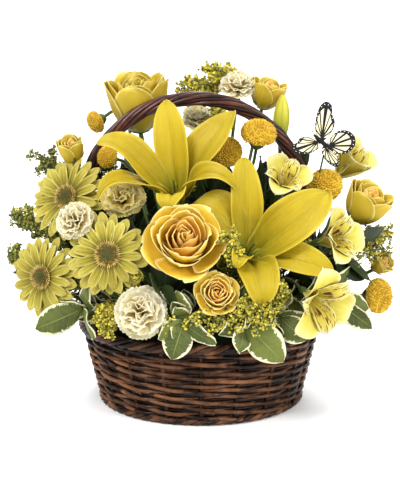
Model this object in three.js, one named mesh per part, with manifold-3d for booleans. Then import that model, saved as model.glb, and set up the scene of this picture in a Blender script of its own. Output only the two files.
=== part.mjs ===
// A round willow basket with a twisted handle, filled with a mixed arrangement of yellow and
// cream cut flowers: lilies, roses, spray roses, gerberas, carnations, button chrysanthemums,
// alstroemerias, goldenrod and variegated leaves, with a butterfly on a wire pick.
// Millimetres, +Z up, the flat bottom of the basket at z = 0 and its axis on the Z axis.
// The front of the arrangement faces -Y.
import * as THREE from "three";
import { mergeVertices } from "three/addons/utils/BufferGeometryUtils.js";
import Module from "manifold-3d";

const wasm = await Module();
wasm.setup();

// Driving dimensions of the basket.
const GAP = 0.35; // clearance between touching pieces
const BASE_RADIUS = 95.5;
const BASE_HEIGHT = 5.5;
const WALL_FOOT_RADIUS = 101.5; // mean outer radius at the floor
const WALL_FLARE = 0.24; // growth of the radius for each millimetre of height
const WALL_THICKNESS = 6;
const WALL_FOOT = 0.5;
const WALL_TOP = 71.2;
const WALL_ROWS = 7; // rows of weavers
const STAKES = 16;
const WEAVE_OUT = 1.5; // a weaver in front of its stake
const WEAVE_IN = -1.1; // a weaver behind its stake
const WEAVE_VALLEY = -1.4; // between two rows
const BORDER_RADIUS = 119;
const BORDER_HEIGHT = 77;
const BORDER_TUBE = 5.6;
const HANDLE_TUBE = 6.4;
const HANDLE_LOBE = 0.9;
const HANDLE_CENTRE_X = -6;
const HANDLE_SPRING = 188; // height where the arch of the handle springs
const HANDLE_ARCH = 113;
const LINER_FLOOR = BASE_HEIGHT + 0.8;
const LINER_TOP = 66;
const LINER_WALL = 1.6;
const LINER_RADIUS = 94; // at its top
const LINER_FOOT_RADIUS = 77; // of its flat floor
const FOAM_FLOOR = LINER_FLOOR + LINER_WALL + GAP;
const FOAM_TOP = 92;
const FOAM_RADIUS = 74;
const STEM_FOOT = 62; // how far down the stems reach into the foam
const HOLE_SHARE = 0.3; // a stem's hole lies at this share of its bloom's distance from the axis
const HOLE_REACH = 62;
const HOLE_PITCH = 12;
const SKIRT_ROOT = 109; // height where the lowest leaves leave their stems
const STEM_STEPS = 4; // straight lengths that each stem is drawn with
const SPRAY_STEM = 1.3; // radius of a stem that carries leaves or twigs
const BLOOM_STEM = 1.7; // radius of a flower's stem where the flower gives no other

// Thicknesses of petals and leaves at their midrib.
const PETAL = 1.3;
const THICK_PETAL = 1.6;
const LEAF = 1.3;

const point = (x, y, z) => new THREE.Vector3(x, y, z);
const turn = (share) => share * 2 * Math.PI;

// A repeatable run of numbers from 0 to 1.
function seeded(seed) {
  let state = seed;
  return () => {
    state = (state * 1664525 + 1013904223) % 4294967296;
    return state / 4294967296;
  };
}

// ---- closed geometry ----

// A closed solid from a geometry whose faces may repeat their vertices.
function solidOf(geometry) {
  const bare = new THREE.BufferGeometry();
  bare.setAttribute("position", geometry.getAttribute("position"));
  bare.setIndex(geometry.index);
  const merged = mergeVertices(bare, 1e-4);
  const corners = merged.index.array;
  const kept = [];
  for (let i = 0; i < corners.length; i += 3) {
    const [a, b, c] = corners.slice(i, i + 3);
    if (a !== b && b !== c && c !== a) kept.push(a, b, c);
  }
  const vertProperties = merged.getAttribute("position").array;
  return new wasm.Manifold(
    new wasm.Mesh({ numProp: 3, vertProperties, triVerts: new Uint32Array(kept) }),
  );
}

function geometryOf(points, corners) {
  const geometry = new THREE.BufferGeometry();
  geometry.setFromPoints(points);
  geometry.setIndex(corners);
  return geometry;
}

// The middle surface of a petal or leaf along a spine: the place and the normal at the share u of
// its length and v of its width. half(u) is the half width, wrap(u) the half angle of its hollow,
// toward the side that up points to, and wave(u, v) a lift of its edge.
function surface({ spine, up, half, wrap, wave }, grow) {
  return (u, v) => {
    const tangent = spine.getTangent(u);
    const side = tangent.clone().cross(up).normalize();
    const upright = side.clone().cross(tangent).normalize();
    const width = half(u) > 0 ? half(u) + 3 * grow : 0;
    const angle = wrap ? wrap(u) : 0;
    const aside = angle ? (width * Math.sin(v * angle)) / angle : width * v;
    const hollow = angle ? (width * (1 - Math.cos(v * angle))) / angle : 0;
    const place = spine.getPoint(u).addScaledVector(tangent, 2 * grow * (2 * u - 1));
    place.addScaledVector(side, aside).addScaledVector(upright, hollow + (wave ? wave(u, v) : 0));
    const normal = upright.multiplyScalar(Math.cos(v * angle));
    normal.addScaledVector(side, -Math.sin(v * angle));
    return { place, normal };
  };
}

// A thin closed blade with a ridge at each of its rows. Both faces share the rim and are split into
// triangles alike.
function blade({ rows, thick, ...shape }, grow = 0) {
  const at = surface(shape, grow);
  const front = [];
  const back = [];
  for (let i = 0; i <= rows; i += 1) {
    for (let j = 0; j < 3; j += 1) {
      const { place, normal } = at(i / rows, j - 1);
      const swell = i > 0 && i < rows && j === 1 ? thick / 2 + grow : 0;
      front.push(place.clone().addScaledVector(normal, swell));
      back.push(place.clone().addScaledVector(normal, -swell));
    }
  }
  const corners = [];
  const shift = front.length;
  const face = (a, b, c) => corners.push(a, c, b, a + shift, b + shift, c + shift);
  for (let i = 0; i < rows; i += 1) {
    const a = 3 * i;
    face(a, a + 3, a + 4);
    face(a, a + 4, a + 1);
    face(a + 1, a + 4, a + 2);
    face(a + 4, a + 5, a + 2);
  }
  return geometryOf([...front, ...back], corners);
}

// A small closed blade, folded about its middle: its rim is listed as [u, v] on one side from the
// root to the tip, and mirrored.
function folded({ rim, middle = 0.5, thick = PETAL, ...shape }, grow = 0) {
  const at = surface(shape, grow);
  const mirrored = rim.filter(([, v]) => v).map(([u, v]) => [u, -v]);
  const round = [...rim, ...mirrored.reverse()];
  const { place, normal } = at(middle, 0);
  const points = round.map(([u, v]) => at(u, v).place);
  points.push(place.clone().addScaledVector(normal, thick / 2 + grow));
  points.push(place.clone().addScaledVector(normal, -thick / 2 - grow));
  const corners = [];
  round.forEach((_, i) => {
    const next = (i + 1) % round.length;
    corners.push(i, next, round.length, next, i, round.length + 1);
  });
  return geometryOf(points, corners);
}

// A closed sweep along a curve with its own radius at each step and corner.
function sweep(curve, steps, sides, radius, ring = false) {
  const frames = curve.computeFrenetFrames(steps, ring);
  const points = [];
  const corners = [];
  const count = ring ? steps : steps + 1;
  for (let i = 0; i < count; i += 1) {
    const middle = curve.getPointAt(i / steps);
    for (let k = 0; k < sides; k += 1) {
      const { size, angle } = radius(i / steps, k);
      const spoke = frames.normals[i].clone().multiplyScalar(Math.cos(angle) * size);
      spoke.addScaledVector(frames.binormals[i], Math.sin(angle) * size);
      points.push(middle.clone().add(spoke));
    }
  }
  for (let i = 0; i < steps; i += 1) {
    const near = i * sides;
    const far = ((i + 1) % count) * sides;
    for (let k = 0; k < sides; k += 1) {
      const next = (k + 1) % sides;
      corners.push(near + k, near + next, far + k, near + next, far + next, far + k);
    }
  }
  if (!ring) {
    points.push(curve.getPointAt(0), curve.getPointAt(1));
    const last = steps * sides;
    for (let k = 0; k < sides; k += 1) {
      const next = (k + 1) % sides;
      corners.push(points.length - 2, next, k, points.length - 1, last + k, last + next);
    }
  }
  return geometryOf(points, corners);
}

// A closed body about the Z axis: rings of corners between a low and a high point on the axis.
function ringed(low, high, rings, columns, corner) {
  const points = [point(0, 0, low), point(0, 0, high)];
  const corners = [];
  for (let i = 0; i < rings; i += 1) {
    for (let k = 0; k < columns; k += 1) {
      const { radius, height, angle } = corner(i, k);
      points.push(point(radius * Math.cos(angle), radius * Math.sin(angle), height));
    }
  }
  const last = 2 + (rings - 1) * columns;
  for (let k = 0; k < columns; k += 1) {
    const next = (k + 1) % columns;
    corners.push(0, 2 + next, 2 + k, 1, last + k, last + next);
    for (let near = 2; near < last; near += columns) {
      const far = near + columns;
      corners.push(near + k, near + next, far + next, near + k, far + next, far + k);
    }
  }
  return geometryOf(points, corners);
}

// A plain round rod along a smooth curve through the points.
function rod(points, radius, sides, steps) {
  const outline = new THREE.Shape(
    Array.from({ length: sides }, (_, k) => {
      const angle = turn(k / sides);
      return new THREE.Vector2(radius * Math.cos(angle), radius * Math.sin(angle));
    }),
  );
  const extrudePath = new THREE.CatmullRomCurve3(points);
  return new THREE.ExtrudeGeometry(outline, { steps, bevelEnabled: false, extrudePath });
}

// The place and direction at a share of the way along a stem drawn in straight lengths.
function along(route, share) {
  const line = new THREE.CatmullRomCurve3(route).getSpacedPoints(STEM_STEPS);
  const length = Math.min(STEM_STEPS - 1, Math.floor(share * STEM_STEPS));
  const ahead = line[length + 1].clone().sub(line[length]);
  const place = line[length].clone().addScaledVector(ahead, share * STEM_STEPS - length);
  return { place, ahead: ahead.normalize() };
}

// A turned body about the Z axis from a profile of [radius, height] points.
function turned(profile, segments) {
  const outline = profile.map(([radius, height]) => new THREE.Vector2(radius, height));
  return new THREE.LatheGeometry(outline, segments).rotateX(Math.PI / 2);
}

function ball(radius, columns, rows, flatten = 1) {
  return new THREE.SphereGeometry(radius, columns, rows).rotateX(Math.PI / 2).scale(1, 1, flatten);
}

// ---- joining and cutting ----

function fuse(geometries) {
  return geometries.map(solidOf).reduce((whole, piece) => whole.add(piece));
}

function largest(solid) {
  const bodies = solid.decompose();
  return bodies.reduce((best, body) => (body.volume() > best.volume() ? body : best));
}

function touches(one, other) {
  const a = one.boundingBox();
  const b = other.boundingBox();
  return [0, 1, 2].every((k) => a.min[k] < b.max[k] && b.min[k] < a.max[k]);
}

function clearOf(solid, others) {
  return others.reduce((left, other) => (touches(left, other) ? left.subtract(other) : left), solid);
}

// The frame of a bloom: its own +Z is the way it faces, turned by roll about that axis.
function bloomFrame(at, face, roll = 0) {
  const facing = new THREE.Quaternion();
  facing.setFromUnitVectors(point(0, 0, 1), point(...face).normalize());
  const spin = new THREE.Quaternion().setFromAxisAngle(point(0, 0, 1), roll);
  return new THREE.Matrix4().compose(point(...at), facing.multiply(spin), point(1, 1, 1));
}

// ---- rims of the small blades, as [share of the length, share of the half width] ----

const RAY_RIM = [[0, 0], [0.3, 0.95], [0.9, 0.86], [1, 0]];
const TEPAL_RIM = [[0, 0], [0.45, 0.8], [0.78, 1], [1, 0]];
const ROSE_RIM = [[0, 0], [0.4, 0.96], [0.88, 1], [1, 0]];
const LEAF_RIM = [[0, 0], [0.3, 0.85], [0.7, 0.9], [1, 0]];

// A petal in the frame of its bloom, in the upright plane at an angle about the axis. route lists
// [radius, height] of its root, its bend and its tip.
function petalAt(angle, route, shape, grow) {
  const [root, bend, tip] = route.map(([radius, height]) =>
    point(radius * Math.cos(angle), radius * Math.sin(angle), height),
  );
  const inward = point(-Math.cos(angle), -Math.sin(angle), 0.6);
  const spine = new THREE.QuadraticBezierCurve3(root, bend, tip);
  return folded({ spine, up: inward, ...shape }, grow);
}

// ---- heads of the blooms, each a list of closed geometries in its bloom's frame ----

// Ray petals in two rows round a ring; the disc is a piece of its own.
const DISC_RADIUS = 9;
const RAY_FOOT = 9; // the radius where the ray petals grow
const RAY_COVER = 0.97; // the share of its circle that a row of ray petals covers
function gerbera({ radius, seed }, grow) {
  const random = seeded(seed);
  const pieces = [
    turned([[0, -11], [3.5, -11], [10, -5.5], [11.5 + grow, 1.6], [0, 1.6]], 8),
  ];
  const rows = [
    { count: 11, reach: 1, lift: -3.4 },
    { count: 8, reach: 0.82, lift: 2.4 },
  ];
  rows.forEach(({ count, reach, lift }, row) => {
    for (let i = 0; i < count; i += 1) {
      const length = radius * (reach - 0.09 + 0.05 * random());
      const rise = lift + random() * 0.8;
      const route = [[RAY_FOOT, -3.6 + row * 3.8], [length * 0.6, rise + 2.4], [length, rise - 1 + 2 * row]];
      const half = (u) => (RAY_COVER * Math.PI * (RAY_FOOT + (length - RAY_FOOT) * u)) / count;
      const shape = { half, wrap: () => 0.4, up: point(0, 0, 1), rim: RAY_RIM, middle: 0.6 };
      pieces.push(petalAt(turn((i + row * 0.5) / count) + row * 0.1, route, shape, grow));
    }
  });
  return pieces;
}

// The domed disc of a gerbera, its tiny florets raised by a formula, with a taller outer ring.
const DISC_RINGS = [
  { size: 8, height: 1.6 + GAP, floret: 0 },
  { size: DISC_RADIUS, height: 3, floret: 0.9 },
  { size: DISC_RADIUS - 1.5, height: 5.6, floret: 0.9 },
  { size: 4, height: 5, floret: 0.9 },
];
function gerberaDisc() {
  const sides = 10;
  return ringed(1.6 + GAP, 4.2, DISC_RINGS.length, sides, (i, k) => {
    const { size, height, floret } = DISC_RINGS[i];
    const lift = (k + i) % 2 ? floret : 0;
    return { radius: size, height: height + lift, angle: turn((k + (i % 2) / 2) / sides) };
  });
}

// A rose: whorls of petals hollowed round its axis, the outer ones rolled back. Each whorl has the
// radii of its foot, waist and mouth and the height of its mouth, as shares of the bloom's own.
const ROSE_WHORLS = [
  { count: 3, foot: 0.1, waist: 0.24, mouth: 0.14, top: 0.6 },
  { count: 3, foot: 0.22, waist: 0.48, mouth: 0.36, top: 0.58 },
  { count: 5, foot: 0.3, waist: 0.8, mouth: 0.62, top: 0.5 },
  { count: 5, foot: 0.36, waist: 1.02, mouth: 0.96, top: 0.2 },
];
const SPRAY_WHORLS = [
  { count: 3, foot: 0.12, waist: 0.4, mouth: 0.24, top: 0.64 },
  { count: 3, foot: 0.26, waist: 0.76, mouth: 0.6, top: 0.58 },
  { count: 5, foot: 0.34, waist: 1.06, mouth: 0.92, top: 0.36 },
];
const BUD_WHORLS = [
  { count: 3, foot: 0.2, waist: 0.5, mouth: 0.34, top: 0.66 },
  { count: 5, foot: 0.32, waist: 1.02, mouth: 0.8, top: 0.5 },
];
const PETAL_COVER = 0.97; // the share of a whorl's circle that its petals cover
function rose({ radius, whorls = ROSE_WHORLS, open = 1 }, grow) {
  const depth = radius * 0.75;
  const pieces = [
    turned([[0, -depth - 5], [4, -depth - 4], [radius * 0.44 + grow, -depth * 0.72], [0, 0]], 6),
  ];
  whorls.forEach(({ count, foot, waist, mouth, top }, row) => {
    const [near, middle, far] = [foot, waist * open, mouth * open].map((share) => radius * share);
    const route = [[near, -depth * 0.7], [middle, -depth * 0.45], [far, depth * top]];
    const reach = (u) => (1 - u) ** 2 * near + 2 * u * (1 - u) * middle + u ** 2 * far;
    const wrap = () => (PETAL_COVER * Math.PI) / count;
    const half = (u) => wrap(u) * reach(u);
    for (let i = 0; i < count; i += 1) {
      const angle = turn((i + row * 0.5) / count) + row * 0.35;
      pieces.push(petalAt(angle, route, { half, wrap, rim: ROSE_RIM, middle: 0.6 }, grow));
    }
  });
  return pieces;
}

// A carnation: layers of frilled petals over a calyx, as one body raised by a formula. Each ring
// has its radius, height and depth of frill as shares of the bloom's radius.
const CARNATION_RINGS = [
  { size: 0.2, height: -1.05, frill: 0 },
  { size: 0.25, height: -0.4, frill: 0 },
  { size: 0.98, height: -0.08, frill: 1 },
  { size: 0.66, height: 0.16, frill: 0 },
  { size: 0.88, height: 0.46, frill: 1 },
  { size: 0.46, height: 0.5, frill: 0 },
  { size: 0.56, height: 0.86, frill: 1 },
  { size: 0.16, height: 0.66, frill: 0 },
];
function carnation({ radius, seed }, grow) {
  const random = seeded(seed);
  const columns = 12;
  const body = ringed(-radius * 1.12, radius * 0.86, CARNATION_RINGS.length, columns, (i, k) => {
    const { size, height, frill } = CARNATION_RINGS[i];
    const out = k % 2 ? 0.06 : -0.06;
    const wide = size + frill * (out + 0.08 * (random() - 0.5));
    const lift = height + frill * (0.22 * (random() - 0.5) - out);
    const angle = turn((k + 0.3 * i) / columns);
    return { radius: radius * wide + grow, height: radius * lift, angle };
  });
  return [body];
}

// A button chrysanthemum: a dome packed with florets, raised from it by a formula.
function button({ radius, flatten = 0.78 }, grow) {
  const columns = 11;
  const rows = 6;
  const dome = ball(radius, columns, rows, flatten);
  const places = dome.getAttribute("position");
  for (let i = 0; i < places.count; i += 1) {
    const row = Math.floor(i / (columns + 1));
    const column = (i % (columns + 1)) % columns;
    const inner = row > 0 && row < rows;
    const size = inner && (row + column) % 2 ? 0.86 : 1;
    const stretch = size + grow / radius;
    places.setXYZ(i, places.getX(i) * stretch, places.getY(i) * stretch, places.getZ(i) * stretch);
  }
  const calyx = turned([[0, -radius], [3, -radius], [radius * 0.5, -radius * 0.5], [0, 0]], 5);
  return [dome, calyx];
}

// An alstroemeria: three broad outer petals and three narrow inner ones on a short funnel.
function alstroemeria({ length, spread }, grow) {
  const pieces = [turned([[0, -12], [2.6, -11], [4.4, 0], [0, 3]], 5)];
  for (let i = 0; i < 6; i += 1) {
    const inner = i % 2;
    const reach = length * (inner ? 0.88 : 1);
    const lean = spread * (inner ? 0.8 : 1);
    const route = [
      [1.4, -3],
      [reach * 0.34 * Math.sin(lean), reach * 0.62],
      [reach * Math.sin(lean), reach * Math.cos(lean)],
    ];
    const half = () => length * (inner ? 0.15 : 0.27);
    const shape = { half, wrap: () => 0.45, rim: TEPAL_RIM, middle: 0.6 };
    pieces.push(petalAt(turn(i / 6), route, shape, grow));
  }
  return pieces;
}

// A closed lily bud, six-ribbed.
function lilyBud({ length }, grow) {
  const spine = new THREE.LineCurve3(point(0, 0, -4), point(0, 0, length));
  const radius = (u, k) => {
    const swell = 2.6 + 5.6 * Math.sin(Math.PI * u ** 0.8) * (k % 2 ? 0.9 : 1);
    return { size: (u < 1 ? swell : 1.2) + grow, angle: turn(k / 6) };
  };
  return [sweep(spine, 5, 6, radius)];
}

// A lily given by its throat and the tips of its petals: [tip, bend, half width].
function lily({ throat, axis, petals }, grow) {
  const up = point(...axis).normalize();
  const start = point(...throat);
  const heart = start.clone().addScaledVector(up, -16);
  const funnel = turned([[0, -24], [3, -23], [7.5 + grow, -6], [9 + grow, 1], [0, -6]], 6);
  funnel.applyMatrix4(bloomFrame(throat, axis));
  const pieces = [funnel];
  petals.forEach(({ tip, bend, width, curl = 0.55 }, index) => {
    const spread = point(...bend).sub(start).projectOnPlane(up).normalize();
    const spine = new THREE.CubicBezierCurve3(
      heart.clone().addScaledVector(spread, 3),
      start.clone().addScaledVector(spread, 9),
      point(...bend),
      point(...tip),
    );
    const half = (u) => width * (u < 1 ? Math.max(0.12, Math.sin(Math.PI * u ** 1.1)) ** 0.85 : 0);
    const wrap = (u) => curl + 0.5 * (1 - u);
    const wave = (u, v) => Math.abs(v) * 1.6 * Math.sin(3.5 * Math.PI * u + index);
    const shape = { spine, up, half, wrap, wave, rows: 5, thick: THICK_PETAL };
    pieces.push(blade(shape, grow));
  });
  return pieces;
}

// A spray of goldenrod: short arching twigs along a stem, each swollen at its clusters of florets.
function goldenrod({ route, twigs = 5, reach = 20, seed }, grow) {
  const random = seeded(seed);
  const swell = [0.6, 5.4, 3.2, 5];
  const pieces = [];
  for (let i = 0; i < twigs; i += 1) {
    const { place: root, ahead } = along(route, 0.99 - (0.4 * i) / twigs);
    const angle = i * 2.4 + random();
    const aside = point(Math.cos(angle), Math.sin(angle) * 0.7, 0.25 + 0.3 * random());
    const length = reach * (0.65 + 0.45 * random()) * (i ? 1 : 0.7);
    const out = i ? aside.addScaledVector(ahead, 0.6).normalize() : ahead;
    const bend = root.clone().addScaledVector(out, length * 0.55);
    const tip = root.clone().addScaledVector(out, length).add(point(0, 0, -length * 0.18));
    const curve = new THREE.QuadraticBezierCurve3(root.addScaledVector(out, -0.8), bend, tip);
    const radius = (share, k) => {
      const size = swell[Math.round(share * 3)] * (k % 2 ? 1 : 0.8) + grow;
      return { size, angle: turn(k / 3) + share * 5 };
    };
    pieces.push(sweep(curve, 3, 3, radius));
  }
  return pieces;
}

// Leaves along a stem, each given by the share of the stem where it grows, its tip and half width.
function leaves({ route, list, waved = 1.6 }, grow) {
  return list.map(([share, tip, width], index) => {
    const start = along(route, share).place;
    const end = point(...tip);
    const outward = start.clone().add(end).multiplyScalar(0.5).sub(point(0, 0, 150)).normalize();
    const bend = start.clone().lerp(end, 0.5);
    bend.addScaledVector(outward, start.distanceTo(end) * 0.16);
    const spine = new THREE.QuadraticBezierCurve3(start, bend, end);
    const half = () => width;
    const wrap = () => -0.3;
    const wave = (u, v) => waved * v * Math.sin(2.6 * Math.PI * u + index);
    const shape = { spine, up: outward, half, wrap, wave, rim: LEAF_RIM, thick: LEAF };
    return folded(shape, grow);
  });
}

// Leaves set in turn along a stem on all sides, for the filling foliage. skirt lists the tips of
// the low leaves that reach over the border as [angle in degrees, radius, height].
const LEAFY_FROM = 0.45; // the share of the stem above which its leaves grow
function foliage({ route, count, length, width, skirt, seed }, grow) {
  const random = seeded(seed);
  const low = (SKIRT_ROOT - STEM_FOOT) / new THREE.CatmullRomCurve3(route).getLength();
  const list = skirt.map(([degrees, reach, height], i) => {
    const angle = (degrees * Math.PI) / 180;
    return [low + 0.03 * i, [reach * Math.cos(angle), reach * Math.sin(angle), height], width];
  });
  for (let i = 0; i < count; i += 1) {
    const share = LEAFY_FROM + ((1 - LEAFY_FROM) * (i + 0.96)) / count;
    const { place, ahead } = along(route, share);
    const angle = i * 2.4 + random() * 0.6;
    const aside = point(Math.cos(angle), Math.sin(angle), 0.15).cross(ahead).normalize();
    const out = aside.addScaledVector(ahead, i === count - 1 ? 3 : 0.7).normalize();
    const tip = place.addScaledVector(out, length * (0.8 + 0.3 * random()));
    list.push([share, tip.toArray(), width]);
  }
  return leaves({ route, list, waved: 1 }, grow);
}

// ---- the basket ----

const wallRadius = (height) => WALL_FOOT_RADIUS + WALL_FLARE * height;

// Weavers over and under the stakes, as relief on a flared ring.
function basketWall() {
  const columns = STAKES * 2;
  const points = [];
  const corners = [];
  const rowHeight = (WALL_TOP - WALL_FOOT - 3) / WALL_ROWS;
  const profileOf = (column) => {
    const outline = [[wallRadius(WALL_FOOT) - 2, WALL_FOOT]];
    for (let row = 0; row < WALL_ROWS; row += 1) {
      const height = WALL_FOOT + 1.5 + row * rowHeight;
      const crest = height + rowHeight / 2;
      const over = (column / 2 + row) % 2 ? WEAVE_OUT : WEAVE_IN;
      const relief = column % 2 ? (WEAVE_OUT + WEAVE_IN) / 2 : over;
      outline.push([wallRadius(height) + WEAVE_VALLEY, height]);
      outline.push([wallRadius(crest) + relief, crest]);
    }
    outline.push([wallRadius(WALL_TOP) + WEAVE_VALLEY, WALL_TOP - 1.5]);
    outline.push([wallRadius(WALL_TOP) - 2.5, WALL_TOP]);
    outline.push([wallRadius(WALL_TOP) - WALL_THICKNESS, WALL_TOP]);
    outline.push([wallRadius(BASE_HEIGHT) - WALL_THICKNESS, BASE_HEIGHT + 1]);
    outline.push([BASE_RADIUS + 1, WALL_FOOT]);
    return outline;
  };
  for (let column = 0; column < columns; column += 1) {
    const angle = turn(column / columns);
    profileOf(column).forEach(([radius, height]) => {
      points.push(point(radius * Math.cos(angle), radius * Math.sin(angle), height));
    });
  }
  const size = points.length / columns;
  for (let column = 0; column < columns; column += 1) {
    const near = column * size;
    const far = ((column + 1) % columns) * size;
    for (let i = 0; i < size; i += 1) {
      const next = (i + 1) % size;
      corners.push(near + i, far + i, near + next, near + next, far + i, far + next);
    }
  }
  return geometryOf(points, corners);
}

function basketBase() {
  const rim = BASE_RADIUS;
  return turned([[0, 0], [rim - 2, 0], [rim, 2], [rim, BASE_HEIGHT], [0, BASE_HEIGHT]], 24);
}

// The border of rods laid aslant over each other, as lobes that wind round a ring.
function basketBorder() {
  const steps = 40;
  const sides = 6;
  const circle = new THREE.EllipseCurve(0, 0, BORDER_RADIUS, BORDER_RADIUS);
  const ring = new THREE.CatmullRomCurve3(
    circle.getPoints(36).slice(0, 36).map(({ x, y }) => point(x, y, BORDER_HEIGHT)),
    true,
  );
  const winds = 9; // whole turns of the lobes round the ring
  const radius = (u, k) => ({
    size: BORDER_TUBE - (k % 2 ? 0 : 1.5),
    angle: turn(k / sides) + turn(winds * u),
  });
  return sweep(ring, steps, sides, radius, true);
}

// The handle: legs down inside the wall and a half circle above, of rods twisted together.
function handleRoute() {
  const route = [];
  const left = [[-91, 20], [-97, 50], [-105, 84], [-114, 130]];
  const right = [[103, 140], [103.5, 84], [97, 50], [91, 20]];
  left.forEach(([x, z]) => route.push(point(x, 0, z)));
  const arcs = 12;
  for (let i = 0; i <= arcs; i += 1) {
    const angle = Math.PI * (1 - i / arcs);
    const x = HANDLE_CENTRE_X + HANDLE_ARCH * Math.cos(angle);
    route.push(point(x, 0, HANDLE_SPRING + HANDLE_ARCH * Math.sin(angle)));
  }
  right.forEach(([x, z]) => route.push(point(x, 0, z)));
  return new THREE.CatmullRomCurve3(route);
}

function basketHandle(grow) {
  const sides = 6;
  const winds = 4.5; // whole turns of the strands from end to end
  const radius = (u, k) => ({
    size: HANDLE_TUBE + (k % 2 ? HANDLE_LOBE : -HANDLE_LOBE) + grow,
    angle: turn(k / sides) + turn(winds * u),
  });
  return sweep(handleRoute(), 36, sides, radius);
}

function liner() {
  const floor = LINER_FLOOR;
  const flat = LINER_FOOT_RADIUS;
  const inside = LINER_RADIUS - LINER_WALL;
  return turned(
    [[0, floor], [flat, floor], [flat + 3, floor + 3], [LINER_RADIUS, LINER_TOP],
      [inside, LINER_TOP], [flat + 1, floor + 4], [flat - 1, floor + LINER_WALL],
      [0, floor + LINER_WALL]],
    16,
  );
}

function foam() {
  const rim = FOAM_RADIUS;
  return turned([[0, FOAM_FLOOR], [rim - 3, FOAM_FLOOR], [rim, FOAM_TOP - 5], [rim - 4, FOAM_TOP],
    [0, FOAM_TOP]], 12);
}

// ---- what stands in the basket ----

const YELLOW = 0xf0c62c;
const GOLD = 0xf2a92b;
const LEMON = 0xd9d06a;
const CREAM = 0xf2ecc8;
const PALE = 0xece08a;
const ORANGE = 0xf0a01e;
const GREEN = 0x4f6a35;
const LIGHT_GREEN = 0xa9b047;
const DARK_GREEN = 0x2f4a2a;

const items = [];

// A bloom on its stem: at is the middle of its head, face the way it looks.
function bloom(name, colour, make, at, face, shape = {}, sink = 4) {
  const frame = bloomFrame(at, face, shape.roll ?? 0);
  const head = (grow) => make(shape, grow).map((piece) => piece.applyMatrix4(frame));
  const back = point(...face).normalize();
  items.push({ name, colour, head, at, back, sink, neck: shape.neck ?? 26, thick: shape.stem ?? BLOOM_STEM });
}

// A stem with what grows along it, its route given from its upper end of the stem inwards.
function spray(name, colour, make, tip, via, shape = {}) {
  items.push({ name, colour, make, tip, via, shape, thick: SPRAY_STEM });
}

const LILY_UPPER = {
  throat: [-25, -45, 212],
  axis: [-0.2, -0.6, 0.8],
  petals: [
    { tip: [-35, -30, 300], bend: [-28, -46, 268], width: 16 },
    { tip: [31, -30, 290], bend: [5, -48, 262], width: 18 },
    { tip: [33, -82, 219], bend: [2, -84, 256], width: 12 },
    { tip: [-31, -84, 196], bend: [-28, -90, 226], width: 14 },
    { tip: [-95, -92, 209], bend: [-74, -86, 250], width: 11 },
    { tip: [-95, -72, 262], bend: [-66, -66, 262], width: 18 },
  ],
};
const LILY_FRONT = {
  throat: [45, -75, 160],
  axis: [0.15, -0.8, 0.55],
  petals: [
    { tip: [40, -62, 247], bend: [40, -78, 220], width: 15 },
    { tip: [116, -88, 216], bend: [88, -108, 196], width: 25 },
    { tip: [121, -98, 139], bend: [98, -122, 166], width: 17 },
    { tip: [55, -124, 119], bend: [52, -136, 156], width: 17 },
    { tip: [31, -122, 152], bend: [36, -120, 172], width: 10 },
    { tip: [-11, -58, 201], bend: [16, -88, 206], width: 20 },
  ],
};
function lilyBloom(name, shape) {
  const at = point(...shape.throat).addScaledVector(point(...shape.axis).normalize(), -18);
  const head = (grow) => lily(shape, grow);
  const back = point(...shape.axis).normalize();
  items.push({ name, colour: YELLOW, head, at: at.toArray(), back, sink: 0, neck: 26, thick: 2.4 });
}

lilyBloom("lily_upper", LILY_UPPER);
lilyBloom("lily_front", LILY_FRONT);

const GERBERAS = [
  ["gerbera_centre", [-84, -99, 160], [-0.1, -0.95, 0.22], { radius: 37, seed: 11 }],
  ["gerbera_upper", [-128, -45, 207], [-0.4, -0.85, 0.36], { radius: 39, seed: 23 }],
  ["gerbera_lower", [-150, -62, 133], [-0.5, -0.85, 0.1], { radius: 37, seed: 37 }],
];
GERBERAS.forEach(([name, at, face, shape]) => {
  bloom(name, LEMON, gerbera, at, face, { ...shape, stem: 2.2 }, 7);
});

bloom("rose_front", GOLD, rose, [-15, -106, 175], [0.03, -0.93, 0.3], { radius: 35, stem: 2.3 }, 14);
bloom("rose_back", YELLOW, rose, [-65, 32, 304], [-0.1, -0.3, 0.95],
  { radius: 31, open: 0.95, roll: 0.4, stem: 2.3 }, 14);

const SPRAY_ROSES = [
  ["spray_rose_front", [14, -121, 129], [0.1, -0.9, 0.32], 18, 1],
  ["spray_rose_left", [-126, -26, 254], [-0.2, -0.3, 0.93], 16, 0.85, 26, BUD_WHORLS],
  ["spray_rose_top", [68, 32, 310], [0.25, -0.3, 0.9], 19, 0.95],
  ["spray_rose_right", [162, -30, 203], [0.5, -0.5, 0.7], 22, 1, 12],
  ["spray_rose_low", [184, -26, 140], [0.8, -0.4, 0.35], 14, 0.9, 12, BUD_WHORLS],
];
SPRAY_ROSES.forEach(([name, at, face, radius, open, neck, whorls = SPRAY_WHORLS]) => {
  bloom(name, GOLD, rose, at, face, { radius, open, neck, whorls }, 8);
});

bloom("lily_bud", LIGHT_GREEN, lilyBud, [80, 14, 262], [0.05, 0, 1], { length: 42 }, 0);

const CARNATIONS = [
  ["carnation_front", CREAM, [-53, -121, 111], [-0.1, -0.9, 0.35], 25, 101],
  ["carnation_left", CREAM, [-114, -84, 188], [-0.3, -0.8, 0.5], 19, 103],
  ["carnation_centre", PALE, [-73, -58, 205], [-0.1, -0.75, 0.6], 22, 107],
  ["carnation_top", CREAM, [37, 28, 312], [0.05, -0.3, 0.95], 16, 109],
  ["carnation_back", CREAM, [-4, 33, 280], [0, -0.6, 0.8], 17, 113],
];
CARNATIONS.forEach(([name, colour, at, face, radius, seed]) => {
  bloom(name, colour, carnation, at, face, { radius, seed }, 8);
});

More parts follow.
